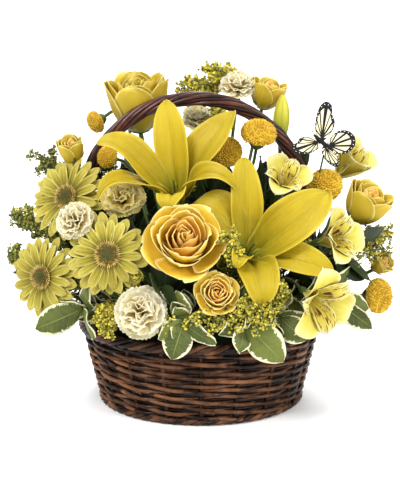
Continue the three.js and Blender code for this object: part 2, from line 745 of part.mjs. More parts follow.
const BUTTONS = [
  ["button_high", [25, -14, 249], [-0.1, -0.9, 0.4], 16],
  ["button_arch", [56, -20, 267], [-0.4, -0.6, 0.3], 17],
  ["button_right", [120, -29, 217], [-0.3, -0.75, 0.55], 18, 10],
  ["button_low_right", [174, -34, 109], [0.75, -0.6, 0.1], 18],
  ["button_back_left", [-108, 32, 278], [-0.5, -0.3, -0.25], 12],
  ["button_left", [-92, -12, 244], [-0.4, -0.5, 0.2], 12],
];
BUTTONS.forEach(([name, at, face, radius, neck]) => {
  bloom(name, ORANGE, button, at, face, { radius, neck }, 4);
});

const ALSTROEMERIAS = [
  ["alstroemeria_low", [97, -97, 124], [0.5, -0.8, -0.25], 46, 0.95, 0.3],
  ["alstroemeria_middle", [113, -62, 167], [0.75, -0.55, 0.1], 42, 0.8, 0.6],
  ["alstroemeria_high", [139, 22, 222], [0.6, -0.25, 0.75], 42, 0.62, 0.2],
  ["alstroemeria_inner", [79, -30, 214], [0.1, -0.7, 0.6], 36, 0.8, 0.1],
];
ALSTROEMERIAS.forEach(([name, at, face, length, spread, roll]) => {
  bloom(name, PALE, alstroemeria, at, face, { length, spread, roll, stem: 1.5 }, 8);
});

// Variegated leaves that hang over the border, one leafy stem to each group.
const PITTOSPORUMS = [
  ["pittosporum_front_left", [-16, -125, 103], [-10, -90, 106], [
    [0.99, [-26, -134, 72], 14],
    [0.99, [13, -134, 86], 9],
    [0.97, [-38, -132, 90], 10],
    [0.96, [-22, -114, 130], 10],
  ]],
  ["pittosporum_front", [40, -124, 102], [25, -90, 106], [
    [0.99, [73, -131, 69], 17],
    [0.98, [33, -135, 78], 10],
    [0.96, [15, -131, 94], 9],
    [0.95, [38, -112, 134], 12],
  ]],
  ["pittosporum_front_right", [72, -112, 104], [45, -80, 106], [
    [0.99, [93, -122, 86], 13],
    [0.98, [64, -126, 88], 9],
    [0.96, [100, -102, 98], 11],
    [0.94, [78, -108, 132], 11],
  ]],
  ["pittosporum_left", [-113, -74, 104], [-72, -40, 104], [
    [0.99, [-154, -86, 88], 15],
    [0.98, [-98, -98, 82], 12],
    [0.96, [-142, -54, 98], 13],
    [0.94, [-104, -92, 128], 12],
  ]],
  ["pittosporum_right", [126, -66, 112], [85, -42, 110], [
    [0.99, [161, -76, 86], 15],
    [0.98, [130, -88, 90], 12],
    [0.96, [162, -50, 100], 13],
    [0.94, [142, -54, 142], 13],
  ]],
];
PITTOSPORUMS.forEach(([name, tip, via, list]) => spray(name, GREEN, leaves, tip, via, { list }));

// Goldenrod: its arching tips fill the gaps and stand out round the edge.
const GOLDENRODS = [
  ["goldenrod_top", [16, 44, 326], [6, 34, 230], 28, 3],
  ["goldenrod_left_high", [-150, 16, 232], [-110, 20, 190], 22, 5],
  ["goldenrod_left_middle", [-172, -24, 184], [-120, -22, 150], 22, 7],
  ["goldenrod_left_low", [-178, -34, 146], [-120, -30, 120], 20, 9],
  ["goldenrod_right", [172, -16, 168], [115, -22, 140], 28, 13],
  ["goldenrod_centre", [28, -102, 176], [22, -62, 140], 20, 15, 4],
  ["goldenrod_front_left", [-84, -106, 104], [-58, -66, 106], 22, 17, 4],
  ["goldenrod_front", [66, -108, 132], [42, -64, 118], 24, 19],
];
GOLDENRODS.forEach(([name, tip, via, reach, seed, twigs]) => {
  spray(name, LIGHT_GREEN, goldenrod, tip, via, { reach, seed, twigs });
});

// Dark filling foliage, which hides the foam and closes the back.
const FOLIAGE = [
  ["foliage_front", [-38, -108, 132], [-26, -62, 116], 4, 44, 17, 41,
    [[-80, 108, 104], [-128, 112, 100]]],
  ["foliage_right", [146, -44, 156], [85, -34, 130], 5, 48, 18, 43,
    [[-28, 128, 96], [22, 134, 92]]],
  ["foliage_left", [-108, 26, 182], [-66, 18, 140], 5, 50, 18, 47,
    [[168, 134, 92], [200, 128, 98], [150, 132, 96]]],
  ["foliage_upper", [10, 14, 206], [8, 8, 150], 5, 44, 17, 53, []],
  ["foliage_upper_right", [88, 22, 222], [50, 14, 160], 6, 46, 17, 55, []],
  ["foliage_back_left", [-76, 74, 206], [-50, 44, 140], 7, 56, 20, 59,
    [[136, 136, 92], [120, 130, 100]]],
  ["foliage_back", [-4, 104, 196], [-2, 60, 140], 7, 58, 21, 61,
    [[104, 136, 92], [88, 132, 102], [74, 136, 92]]],
  ["foliage_back_right", [80, 76, 196], [50, 46, 140], 7, 56, 20, 67,
    [[58, 134, 96], [42, 136, 90]]],
];
FOLIAGE.forEach(([name, tip, via, count, length, width, seed, skirt]) => {
  spray(name, DARK_GREEN, foliage, tip, via, { count, length, width, seed, skirt });
});

// ---- stems and their holes in the foam ----

// Each hole starts on the line to its bloom and is then pushed clear of the others.
function spreadHoles(list) {
  const holes = list.map(({ at, tip }) => {
    const [x, y] = at ?? tip;
    return new THREE.Vector2(x, y).multiplyScalar(HOLE_SHARE);
  });
  for (let round = 0; round < 80; round += 1) {
    holes.forEach((hole, i) => {
      holes.slice(i + 1).forEach((other) => {
        const apart = other.clone().sub(hole);
        const lack = HOLE_PITCH - apart.length();
        if (lack > 0) {
          apart.setLength(lack / 2);
          other.add(apart);
          hole.sub(apart);
        }
      });
      hole.clampLength(0, HOLE_REACH);
    });
  }
  return holes;
}

const holes = spreadHoles(items);

// A bloom's stem leaves the back of its head and bends over to its hole.
function stemRoute({ at, back, sink, neck, tip, via }, hole) {
  const mouth = point(hole.x, hole.y, FOAM_TOP + 3);
  const foot = point(hole.x * 0.94, hole.y * 0.94, STEM_FOOT);
  if (tip) return [foot, mouth, point(...via), point(...tip)];
  const top = point(...at).addScaledVector(back, -sink);
  const bend = point(...at).addScaledVector(back, -sink - neck);
  return [foot, mouth, bend.clone().lerp(mouth, 0.45), bend, top];
}

items.forEach((item, index) => {
  const route = stemRoute(item, holes[index]);
  item.stem = solidOf(rod(route, item.thick, 3, STEM_STEPS));
  item.wideStem = solidOf(rod(route, item.thick + GAP * 2, 3, STEM_STEPS));
  if (item.make) item.head = (grow) => item.make({ ...item.shape, route }, grow);
});

// ---- butterfly on a wire pick ----

// A wing as a flat outline in its own plane: x runs from its root to its tip.
const FOREWING = [[0, -1], [9, -8], [20, -10], [27, -6], [35, -4], [38, 2], [33, 7], [18, 9], [6, 6]];
const HINDWING = [[0, -3], [8, -11], [19, -13], [28, -8], [31, 0], [27, 8], [16, 11], [5, 5]];
const WING_THICKNESS = 0.8;

function wing(outline, root, tip, facing, size) {
  const shape = new THREE.Shape(outline.map(([x, y]) => new THREE.Vector2(x * size, y * size)));
  const flat = new THREE.ExtrudeGeometry(shape, { depth: WING_THICKNESS, bevelEnabled: false });
  const along = point(...tip).sub(point(...root)).normalize();
  const across = point(...facing).cross(along).normalize();
  const basis = new THREE.Matrix4().makeBasis(along, across, along.clone().cross(across));
  return flat.applyMatrix4(basis.setPosition(...root));
}

const BUTTERFLY = [121, -32, 255];
function butterfly() {
  const [x, y, z] = BUTTERFLY;
  const body = sweep(
    new THREE.LineCurve3(point(x - 13, y - 2, z + 11), point(x + 9, y, z - 8)),
    5,
    6,
    (u, k) => ({ size: 0.7 + 1.7 * Math.sin(Math.PI * (0.15 + 0.8 * u)), angle: turn(k / 6) }),
  );
  const facing = [0.15, -0.95, 0.25];
  return [
    body,
    wing(FOREWING, [x - 6, y, z + 5], [x + 1, y + 4, z + 42], facing, 1),
    wing(HINDWING, [x - 1, y, z + 1], [x + 28, y + 4, z + 8], facing, 0.95),
    wing(FOREWING, [x - 7, y - 1, z + 4], [x - 34, y - 20, z - 2], [0.5, -0.6, 0.62], 0.95),
    wing(HINDWING, [x - 2, y - 1, z], [x + 8, y - 14, z - 20], [0.5, -0.6, 0.62], 0.8),
  ];
}

// ---- the assembly ----

const arrangement = new THREE.Group();

function add(name, solid, color, roughness) {
  const { vertProperties, triVerts } = solid.getMesh();
  const geometry = new THREE.BufferGeometry();
  geometry.setAttribute("position", new THREE.BufferAttribute(vertProperties, 3));
  geometry.setIndex(new THREE.BufferAttribute(triVerts, 1));
  geometry.computeVertexNormals();
  const material = new THREE.MeshStandardMaterial({ color, roughness, metalness: 0 });
  const mesh = new THREE.Mesh(geometry, material);
  mesh.name = name;
  arrangement.add(mesh);
}

const WILLOW = 0x4a2418;
add("basket_base", solidOf(basketBase()), WILLOW, 0.6);
add("basket_wall", solidOf(basketWall()), WILLOW, 0.6);
add("basket_border", solidOf(basketBorder()), WILLOW, 0.6);
add("basket_handle", solidOf(basketHandle(0)), WILLOW, 0.5);
add("liner", solidOf(liner()), 0x202020, 0.4);

const wideHandle = solidOf(basketHandle(GAP));

// The disc and the butterfly come first, then each head gives way to those before it.
const placed = [wideHandle];
GERBERAS.forEach(([name, at, face]) => {
  const disc = gerberaDisc().applyMatrix4(bloomFrame(at, face));
  add(`${name}_disc`, solidOf(disc), 0x8a8f5a, 0.8);
});
const butterflySolid = fuse(butterfly());
add("butterfly", butterflySolid, 0xf0e8b4, 0.6);
const [pickX, pickY, pickZ] = BUTTERFLY;
const pickRoute = [
  point(40, -12, STEM_FOOT),
  point(42, -12, FOAM_TOP + 3),
  point(pickX - 20, pickY + 6, 180),
  point(pickX - 2, pickY + 1, pickZ - 4.4),
];
add("butterfly_wire", solidOf(rod(pickRoute, 0.9, 4, 6)), 0x3a4a2a, 0.4);
const wideWire = solidOf(rod(pickRoute, 0.9 + GAP, 4, 6));
placed.push(butterflySolid, wideWire);

items.forEach((item) => {
  const others = items.filter((other) => other !== item).map((other) => other.wideStem);
  const head = clearOf(clearOf(fuse(item.head(0)), others), placed);
  const whole = largest(head.add(item.stem));
  add(item.name, whole, item.colour, 0.6);
  placed.push(fuse(item.head(GAP)), whole);
});

const drilled = clearOf(solidOf(foam()), [...items.map((item) => item.wideStem), wideWire]);
add("foam_block", largest(drilled), 0x3d5a3a, 0.9);

export default arrangement;
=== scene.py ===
# A willow basket with a twisted handle, filled with yellow and cream cut flowers, and a butterfly
# on a wire pick. Lengths in the sections are millimetres, as a florist would give them, and MM
# turns them into metres. The front of the arrangement faces -Y.
import math

import bpy
import numpy as np
from mathutils import Matrix, Vector


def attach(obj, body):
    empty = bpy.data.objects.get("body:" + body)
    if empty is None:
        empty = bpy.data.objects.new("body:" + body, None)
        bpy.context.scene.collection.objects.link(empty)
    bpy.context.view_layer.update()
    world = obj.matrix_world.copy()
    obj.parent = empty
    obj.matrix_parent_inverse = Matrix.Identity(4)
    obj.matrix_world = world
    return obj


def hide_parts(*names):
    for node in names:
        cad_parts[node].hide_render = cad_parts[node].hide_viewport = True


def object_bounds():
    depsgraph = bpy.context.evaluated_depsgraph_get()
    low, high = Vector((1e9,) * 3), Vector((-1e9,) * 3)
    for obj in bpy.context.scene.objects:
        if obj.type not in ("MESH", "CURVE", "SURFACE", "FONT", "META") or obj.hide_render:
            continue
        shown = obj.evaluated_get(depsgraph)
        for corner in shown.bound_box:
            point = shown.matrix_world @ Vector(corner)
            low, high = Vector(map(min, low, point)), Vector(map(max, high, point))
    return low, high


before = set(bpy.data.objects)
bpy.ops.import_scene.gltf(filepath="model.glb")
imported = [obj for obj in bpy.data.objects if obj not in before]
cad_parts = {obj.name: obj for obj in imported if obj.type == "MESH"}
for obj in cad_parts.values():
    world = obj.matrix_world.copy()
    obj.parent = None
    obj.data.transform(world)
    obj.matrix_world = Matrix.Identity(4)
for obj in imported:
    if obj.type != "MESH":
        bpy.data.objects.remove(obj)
cad_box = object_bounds()
MM = 0.001


# ---- The studio ----
# A product table: a pale floor that rises behind the basket into a white wall, lit by a large
# soft box above on the left, a weaker one on the right and a bright room. The camera looks
# slightly down on the front.
scene = bpy.context.scene
scene.view_settings.view_transform = "Standard"


def choose(*objects):
    bpy.ops.object.select_all(action="DESELECT")
    for chosen in objects:
        chosen.select_set(True)
    bpy.context.view_layer.objects.active = objects[0]


camera_data = bpy.data.cameras.new("camera")
camera_data.sensor_width = 36
camera_data.lens = 64.66
camera_data.clip_start = 0.01
camera = bpy.data.objects.new("camera", camera_data)
scene.collection.objects.link(camera)
camera.location = (-0.001, -0.9, 0.284)
camera.rotation_euler = (math.radians(81.5), 0, 0)
scene.camera = camera


def soft_box(name, place, aim, size, power):
    lamp = bpy.data.lights.new(name, "AREA")
    lamp.shape = "DISK"
    lamp.size = size
    lamp.energy = power
    box = bpy.data.objects.new(name, lamp)
    scene.collection.objects.link(box)
    box.location = place
    box.rotation_euler = (Vector(aim) - Vector(place)).to_track_quat("-Z", "Y").to_euler()


soft_box("key_light", (-0.75, -1.05, 1.35), (0, 0, 0.16), 0.7, 24)
soft_box("fill_light", (1.1, -1.0, 0.8), (0, 0, 0.16), 0.6, 13)
soft_box("back_light", (0.2, 1.2, 1.1), (0, 0, 0.2), 0.8, 8)
soft_box("wall_light", (0, 0.9, 2.2), (0, 2.9, 0.7), 2.0, 75)
room = bpy.data.worlds.new("room")
room.use_nodes = True
room.node_tree.nodes["Background"].inputs["Color"].default_value = (1, 1, 1, 1)
room.node_tree.nodes["Background"].inputs["Strength"].default_value = 0.65
scene.world = room


class Wire:
    """One socket of a finish. Sums with numbers and other wires add their Math nodes."""

    def __init__(self, finish, socket):
        self.finish = finish
        self.socket = socket

    def calc(self, operation, *terms):
        return self.finish.node("ShaderNodeMath", {"operation": operation}, dict(enumerate(terms)))

    def __add__(self, other):
        return self.calc("ADD", self, other)

    def __sub__(self, other):
        return self.calc("SUBTRACT", self, other)

    def __rsub__(self, other):
        return self.calc("SUBTRACT", other, self)

    def __mul__(self, other):
        return self.calc("MULTIPLY", self, other)

    __radd__ = __add__
    __rmul__ = __mul__

    def alone(self, operation):
        return self.calc(operation, self)

    def rise(self, low, high):
        """0 below low, 1 above high, and smooth between."""
        return self.finish.node(
            "ShaderNodeMapRange",
            {"interpolation_type": "SMOOTHSTEP"},
            {"Value": self, "From Min": low, "From Max": high},
        )


class Finish:
    """A material whose nodes are added one at a time by node()."""

    def __init__(self, name, **sockets):
        self.material = bpy.data.materials.new(name)
        self.material.use_nodes = True
        self.tree = self.material.node_tree
        self.shader = self.tree.nodes["Principled BSDF"]
        for key, value in sockets.items():
            self.shader.inputs[key.replace("_", " ")].default_value = value

    def node(self, kind, settings=None, inputs=None, output=0):
        made = self.tree.nodes.new(kind)
        for key, value in (settings or {}).items():
            if key == "stops":
                ramp = made.color_ramp.elements
                while len(ramp) < len(value):
                    ramp.new(0.5)
                for stop, (position, colour) in zip(ramp, value):
                    stop.position = position
                    stop.color = (*colour, 1)
            else:
                setattr(made, key, value)
        for key, value in (inputs or {}).items():
            if isinstance(value, Wire):
                self.tree.links.new(value.socket, made.inputs[key])
            else:
                made.inputs[key].default_value = value
        return Wire(self, made.outputs[output])

    def feed(self, socket, wire):
        self.tree.links.new(wire.socket, self.shader.inputs[socket])

    def mix(self, share, first, second):
        first, second = [c if isinstance(c, Wire) else (*c, 1) for c in (first, second)]
        inputs = {0: share, 6: first, 7: second}
        return self.node("ShaderNodeMix", {"data_type": "RGBA"}, inputs, 2)

    def noise(self, scale, detail=2.0, vector=None):
        place = vector or self.node("ShaderNodeTexCoord", output=3)
        inputs = {"Vector": place, "Scale": scale, "Detail": detail}
        return self.node("ShaderNodeTexNoise", {}, inputs)

    def tone(self):
        return self.node("ShaderNodeAttribute", {"attribute_name": "tone"}, output=2)

    def petal_map(self):
        """The map of a petal or leaf, its share across, its share along and how near its edge."""
        place = self.node("ShaderNodeTexCoord", output=2)
        split = self.node("ShaderNodeSeparateXYZ", {}, {0: place})
        along = Wire(self, split.socket.node.outputs[1])
        return place, split, along, (split * 2 - 1).alone("ABSOLUTE")

    def bump(self, height, distance, strength=1.0):
        inputs = {"Height": height, "Distance": distance, "Strength": strength}
        self.feed("Normal", self.node("ShaderNodeBump", {}, inputs))


def speckled(name, scale, first, second, **sockets):
    """A finish that wanders between two colours."""
    finish = Finish(name, **sockets)
    finish.feed("Base Color", finish.mix(finish.noise(scale), first, second))
    return finish


FLOOR_SIZE = 6
WALL_HEIGHT = 3
bpy.ops.mesh.primitive_plane_add(size=FLOOR_SIZE, location=(0, 0, 0))
floor = bpy.context.object
floor.name = "floor"
bpy.ops.object.mode_set(mode="EDIT")
bpy.ops.mesh.select_all(action="DESELECT")
bpy.ops.object.mode_set(mode="OBJECT")
for edge in floor.data.edges:
    far_ends = [floor.data.vertices[i].co.y > FLOOR_SIZE / 2 - 0.1 for i in edge.vertices]
    edge.select = all(far_ends)
bpy.ops.object.mode_set(mode="EDIT")
bpy.ops.mesh.select_mode(type="EDGE")
bpy.ops.mesh.extrude_region_move(TRANSFORM_OT_translate={"value": (0, 0, WALL_HEIGHT)})
bpy.ops.object.mode_set(mode="OBJECT")
curve_up = floor.modifiers.new("curve up", "BEVEL")
curve_up.width = 1.5
curve_up.segments = 12
choose(floor)
bpy.ops.object.modifier_apply(modifier=curve_up.name)
bpy.ops.object.shade_smooth()
paper = speckled("floor_paper", 3.0, (0.95, 0.95, 0.95), (0.97, 0.97, 0.97), Roughness=0.8)
floor.data.materials.append(paper.material)


# ---- The woven wall ----
# Peeled willow rods about 4 mm thick, stained red-brown and varnished. Each row passes in front
# of one upright stake and behind the next, and the rows alternate over an inner layer of rods at
# the darkest tone, painted shade seen through the gaps of the weave; three thicker rods are
# twisted round the foot, and here and there a cut rod end shows pale.
STAKES = 20
WALL_ROWS = 18
LOWEST_ROW = 7.6
ROW_PITCH = 3.9
WALL_FOOT_RADIUS = 101.5
WALL_FLARE = 0.24
ROD_ENDS = 26
ROD_SIDES = 8
# Half the thickness of each kind of rod.
WEAVER, INNER_ROD, STAKE, WALING, ROD_END = 1.8, 1.9, 2.1, 2.1, 1.55


def wall_radius(height):
    return WALL_FOOT_RADIUS + WALL_FLARE * height


def row_height(row):
    return LOWEST_ROW + ROW_PITCH * (row - 0.75)


def radial(angle, radius, height):
    return np.array([radius * np.cos(angle), radius * np.sin(angle), height])


def circuit(turn, radius, height):
    """A line once round the basket."""
    height = np.broadcast_to(height, len(turn))
    return np.column_stack([radius * np.cos(turn), radius * np.sin(turn), height])


def rods(lines, sides=8, closed=False, tones=None, finish=None):
    """Round rods in one mesh. Each line is its points and its radius, one or one for each."""
    curve = bpy.data.curves.new("rod", "CURVE")
    curve.dimensions = "3D"
    curve.bevel_depth = 1
    curve.bevel_resolution = sides // 2 - 2
    curve.use_fill_caps = not closed
    for points, radius in lines:
        spline = curve.splines.new("POLY")
        spline.points.add(len(points) - 1)
        places = np.column_stack([np.asarray(points, float) * MM, np.ones(len(points))])
        spline.points.foreach_set("co", places.ravel())
        spline.points.foreach_set("radius", np.broadcast_to(radius, len(points)) * MM)
        spline.use_cyclic_u = closed
    rod = bpy.data.objects.new("rod", curve)
    scene.collection.objects.link(rod)
    choose(rod)
    bpy.ops.object.convert(target="MESH")
    rod = bpy.context.object
    if tones is None:
        tones = np.full(len(lines), 0.5)
    set_tone(rod, np.repeat(tones, [len(points) * sides for points, _ in lines]))
    bpy.ops.object.shade_smooth()
    if finish:
        paint(rod, finish)
    return rod


def corners(piece):
    places = np.empty(len(piece.data.vertices) * 3)
    piece.data.vertices.foreach_get("co", places)
    return places.reshape(-1, 3)


def set_tone(piece, values):
    """How light each rod, petal or leaf is beside its neighbours, from 0 to 1."""
    count = len(piece.data.vertices)
    tone = piece.data.attributes.get("tone") or piece.data.attributes.new("tone", "FLOAT", "POINT")
    values = np.broadcast_to(values, count) if np.ndim(values) == 0 else np.resize(values, count)
    tone.data.foreach_set("value", values.astype(np.float32))


def join(parts):
    choose(*parts)
    if len(parts) > 1:
        bpy.ops.object.join()
    return bpy.context.object


def finish_piece(parts, name, slot, *nodes):
    """Joins the parts into one piece, which stands for its nodes."""
    piece = join(parts)
    piece.name = name
    piece.data.name = name
    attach(piece, "root")
    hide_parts(*nodes)
    return piece


def paint(piece, *finishes):
    piece.data.materials.clear()
    for finish in finishes:
        piece.data.materials.append(finish.material)


def willow(name, dark, light, gloss):
    finish = Finish(name, Coat_Roughness=0.14, Coat_Weight=gloss, Specular_IOR_Level=0.12)
    streak = finish.noise(190.0, 4.0)
    patch = finish.noise(45.0, 3.0)
    light_share = (finish.tone() * 0.7 + patch * 1.1 + streak * 0.6 - 0.78).rise(0.05, 1.1)
    finish.feed("Base Color", finish.mix(light_share, dark, light))
    finish.feed("Roughness", 0.42 + streak * 0.25)
    finish.bump(streak, 0.0005, 0.6)
    return finish


STAINED = willow("stained_willow", (0.007, 0.0018, 0.0005), (0.24, 0.098, 0.040), 0.16)
PALE_CUT = speckled("cut_willow", 600.0, (0.42, 0.22, 0.10), (0.70, 0.48, 0.28), Roughness=0.7)

rng = np.random.default_rng(7)
around = np.linspace(0, 2 * np.pi, 240, endpoint=False)
weavers = []
for row in range(WALL_ROWS):
    phase = STAKES / 2 * around + np.pi * row
    height = row_height(row) + 0.5 * np.sin(3 * around + row * 1.9)
    height = height - 1.1 * np.sin(phase) + 0.45 * np.sin(7 * around + row * 2.7)
    swing = np.sign(np.cos(phase)) * np.abs(np.cos(phase)) ** 0.75
    radius = wall_radius(height) - 1.9 + 2.3 * swing
    thick = WEAVER + 0.16 * np.sin(2 * around + row * 2.4) + 0.08 * rng.standard_normal()
    weavers.append((circuit(around, radius, height), thick))
weaving = rods(weavers, ROD_SIDES, True, rng.uniform(0.1, 0.9, WALL_ROWS))
# The inner layer: every rod at tone 0, the darkest, as painted shade in the gaps between the rows.
inner = []
for row in range(WALL_ROWS - 1):
    height = row_height(row + 0.5)
    inner.append((circuit(around, wall_radius(height) - 3.9, height), INNER_ROD))
inner = rods(inner, 6, True, np.zeros(len(inner)))

# A row is lighter along some stretches than others, as several rods are laid end to end in it.
RODS_IN_ROW = 9
places = corners(weaving)
turned = np.arctan2(places[:, 1], places[:, 0])
row_of = np.repeat(np.arange(WALL_ROWS), len(around) * ROD_SIDES)[: len(turned)]
stretch = rng.uniform(0, 1, (WALL_ROWS, RODS_IN_ROW))
starts = rng.uniform(0, 2 * np.pi, WALL_ROWS)
part = (((turned - starts[row_of]) % (2 * np.pi)) / (2 * np.pi) * RODS_IN_ROW).astype(int)
set_tone(weaving, stretch[row_of, part])

stakes = []
for k in range(STAKES):
    angle = 2 * np.pi * k / STAKES
    heights = np.linspace(2.6, 72, 14)
    stakes.append(([radial(angle, wall_radius(h) - 2.2, h) for h in heights], STAKE))
stakes = rods(stakes, 6, False, rng.uniform(0.0, 0.4, STAKES))

foot = np.linspace(0, 2 * np.pi, 500, endpoint=False)
waling = []
for strand in range(3):
    wind = STAKES * foot + 2 * np.pi * strand / 3
    line = circuit(foot, 100.6 + 2.3 * np.cos(wind), 3.9 + 1.7 * np.sin(wind))
    waling.append((line, WALING))
waling = rods(waling, 8, True, (0.35, 0.6, 0.2))

ends = []
for k in range(ROD_ENDS):
    row = rng.integers(0, WALL_ROWS - 1)
    angle = rng.uniform(0, 2 * np.pi)
    height = row_height(row) + 1.2
    line = []
    for step in np.linspace(-0.09, 0.03, 5):
        out = wall_radius(height) + 0.4 + 1.3 * (step > 0.01) - 1.5 * (step < -0.05)
        line.append(radial(angle + step, out, height - 14 * step))
    ends.append((line, ROD_END))
ends = rods(ends, 8, False, rng.uniform(0.2, 0.8, len(ends)))
for face in ends.data.polygons:
    face.material_index = int(len(face.vertices) > 4)

wall = finish_piece([weaving, inner, stakes, waling], "woven_wall", "willow", "basket_wall")
paint(wall, STAINED)
paint(ends, STAINED, PALE_CUT)
ends.name = "rod_ends"
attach(ends, "root")


# ---- The border and the woven base ----
# The stakes are bent over along the rim and laid over each other into a slanting rope. The base
# is woven round a cross of thicker sticks, and carries the whole basket.
BORDER_RADIUS = 119
BORDER_HEIGHT = 77
BORDER_ROD, RING_ROD, BASE_STICK = 2.3, 2.05, 2.3
BASE_HEIGHT = 2.9
rim = np.linspace(0, 2 * np.pi, 900, endpoint=False)
laid = []
for strand in range(5):
    wind = 14 * rim + 2 * np.pi * strand / 5 + 0.3 * np.sin(5 * rim + strand)
    line = circuit(rim, BORDER_RADIUS + 3.2 * np.cos(wind), BORDER_HEIGHT + 3.0 * np.sin(wind))
    laid.append((line, BORDER_ROD))
border = rods(laid, 8, True, (0.1, 0.5, 0.3, 0.65, 0.0), STAINED)
finish_piece([border], "laid_border", "willow", "basket_border")

rings = []
turn_round = np.linspace(0, 2 * np.pi, 64, endpoint=False)
for k, radius in enumerate(np.arange(6, 94, ROW_PITCH)):
    height = BASE_HEIGHT + 0.75 * np.cos(8 * turn_round + np.pi * k)
    rings.append((circuit(turn_round, radius, height), RING_ROD))
rings = rods(rings, 6, True, rng.uniform(0, 1, len(rings)), STAINED)
sticks = []
for k in range(8):
    angle = np.pi * (k + 0.5) / 8
    sticks.append(([radial(angle, reach, BASE_HEIGHT) for reach in (-93, 0, 93)], BASE_STICK))
sticks = rods(sticks, 8, finish=STAINED)
finish_piece([rings, sticks], "woven_base", "willow", "basket_base")


# ---- The handle ----
# Long rods twisted together over a thick core, bent into a hoop and pushed down inside the wall
# on both sides. The core takes the darkest tone, painted shade in the gaps between the rods.
# Varnish pools between the rods and gives them pinkish highlights.
def smooth_line(points, count=120):
    """A centripetal Catmull-Rom curve through the points, at equal steps of its length."""
    points = [np.array(p, float) for p in points]
    points = [2 * points[0] - points[1], *points, 2 * points[-1] - points[-2]]
    line = []
    for p0, p1, p2, p3 in zip(points, points[1:], points[2:], points[3:]):
        d0, d1, d2 = [np.linalg.norm(b - a) ** 0.5 for a, b in ((p0, p1), (p1, p2), (p2, p3))]
        leave = ((p1 - p0) / d0 - (p2 - p0) / (d0 + d1) + (p2 - p1) / d1) * d1
        reach = ((p2 - p1) / d1 - (p3 - p1) / (d1 + d2) + (p3 - p2) / d2) * d1
        for t in np.linspace(0, 1, 60, endpoint=False):
            square = -3 * p1 + 3 * p2 - 2 * leave - reach
            cube = 2 * p1 - 2 * p2 + leave + reach
            line.append(p1 + leave * t + square * t**2 + cube * t**3)
    line = np.array([*line, points[-2]])
    length = np.concatenate([[0], np.cumsum(np.linalg.norm(np.diff(line, axis=0), axis=1))])
    steps = np.linspace(0, length[-1], count)
    return np.column_stack([np.interp(steps, length, line[:, k]) for k in range(3)])


HOOP_RADIUS = 113
CORE_ROD, TWISTED_ROD, TWIST_RADIUS, TWIST_TURNS, STRANDS = 3.8, 1.85, 5.0, 4, 9
hoop = [(-91, 20), (-97, 50), (-105, 84), (-114, 130)]
for k in range(13):
    angle = np.pi * (1 - k / 12)
    hoop.append((-6 + HOOP_RADIUS * np.cos(angle), 188 + HOOP_RADIUS * np.sin(angle)))
hoop += [(103, 140), (103.5, 84), (97, 50), (91, 20)]
hoop = smooth_line([(x, 0, z) for x, z in hoop], 420)
ahead = np.gradient(hoop, axis=0)
ahead /= np.linalg.norm(ahead, axis=1, keepdims=True)
side = np.column_stack([-ahead[:, 2], np.zeros(len(hoop)), ahead[:, 0]])
share = np.linspace(0, 1, len(hoop))
twisted = [(hoop, CORE_ROD)]
for strand in range(STRANDS):
    wind = 2 * np.pi * (TWIST_TURNS * share + strand / STRANDS)
    out = TWIST_RADIUS + 0.45 * np.sin(2 * np.pi * (3 * share + 0.37 * strand))
    line = hoop + side * (out * np.cos(wind))[:, None]
    line[:, 1] += out * np.sin(wind)
    twisted.append((line, TWISTED_ROD + 0.12 * (strand % 3)))
VARNISHED = willow("varnished_willow", (0.012, 0.0025, 0.0015), (0.15, 0.042, 0.022), 0.6)
# The first tone is the core's: 0, the darkest, as painted shade between the twisted rods.
tones = (0.0, 0.7, 0.3, 0.9, 0.5, 0.1, 0.8, 0.2, 0.6, 0.4)
handle = rods(twisted, 8, False, tones, VARNISHED)
finish_piece([handle], "twisted_handle", "willow_handle", "basket_handle")


# ---- The liner and the foam ----
# A thin dark moulded tray keeps the water in, and a round block of soaked green foam stands in
# it, with a hole for each stem. Both come straight from the frame and get their surface here.
tray = speckled("liner_plastic", 40.0, (0.012, 0.012, 0.012), (0.03, 0.03, 0.03), Roughness=0.35)
tray.bump(tray.noise(900.0), 0.0002, 0.3)
paint(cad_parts["liner"], tray)
soaked = Finish("soaked_foam", Roughness=0.9)
cells = soaked.noise(1400.0, 3.0)
soaked.feed("Base Color", soaked.mix(cells, (0.010, 0.028, 0.008), (0.03, 0.07, 0.02)))
soaked.bump(cells, 0.0008)
paint(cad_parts["foam_block"], soaked)


# ---- Lilies ----
# Two open lilies with six thick waxy petals each, rolled back at their tips and a little waved at
# the edge, with a deep groove along the middle, a green throat and a stout stem.
def unit(vector):
    vector = np.asarray(vector, float)
    return vector / np.linalg.norm(vector, axis=-1, keepdims=True)


def sheet(columns, rows):
    """A flat unit sheet, from which petals and leaves are shaped."""
    bpy.ops.mesh.primitive_grid_add(x_subdivisions=columns, y_subdivisions=rows, size=1)
    return bpy.context.object


def bezier(points, u):
    """The places and directions on a Bezier curve at the shares u of its length."""
    points = [np.broadcast_to(np.array(p, float), (len(u), 3)) for p in points]
    u = u[:, None]
    while len(points) > 2:
        points = [a + (b - a) * u for a, b in zip(points, points[1:])]
    return points[0] + (points[1] - points[0]) * u, unit(points[1] - points[0])


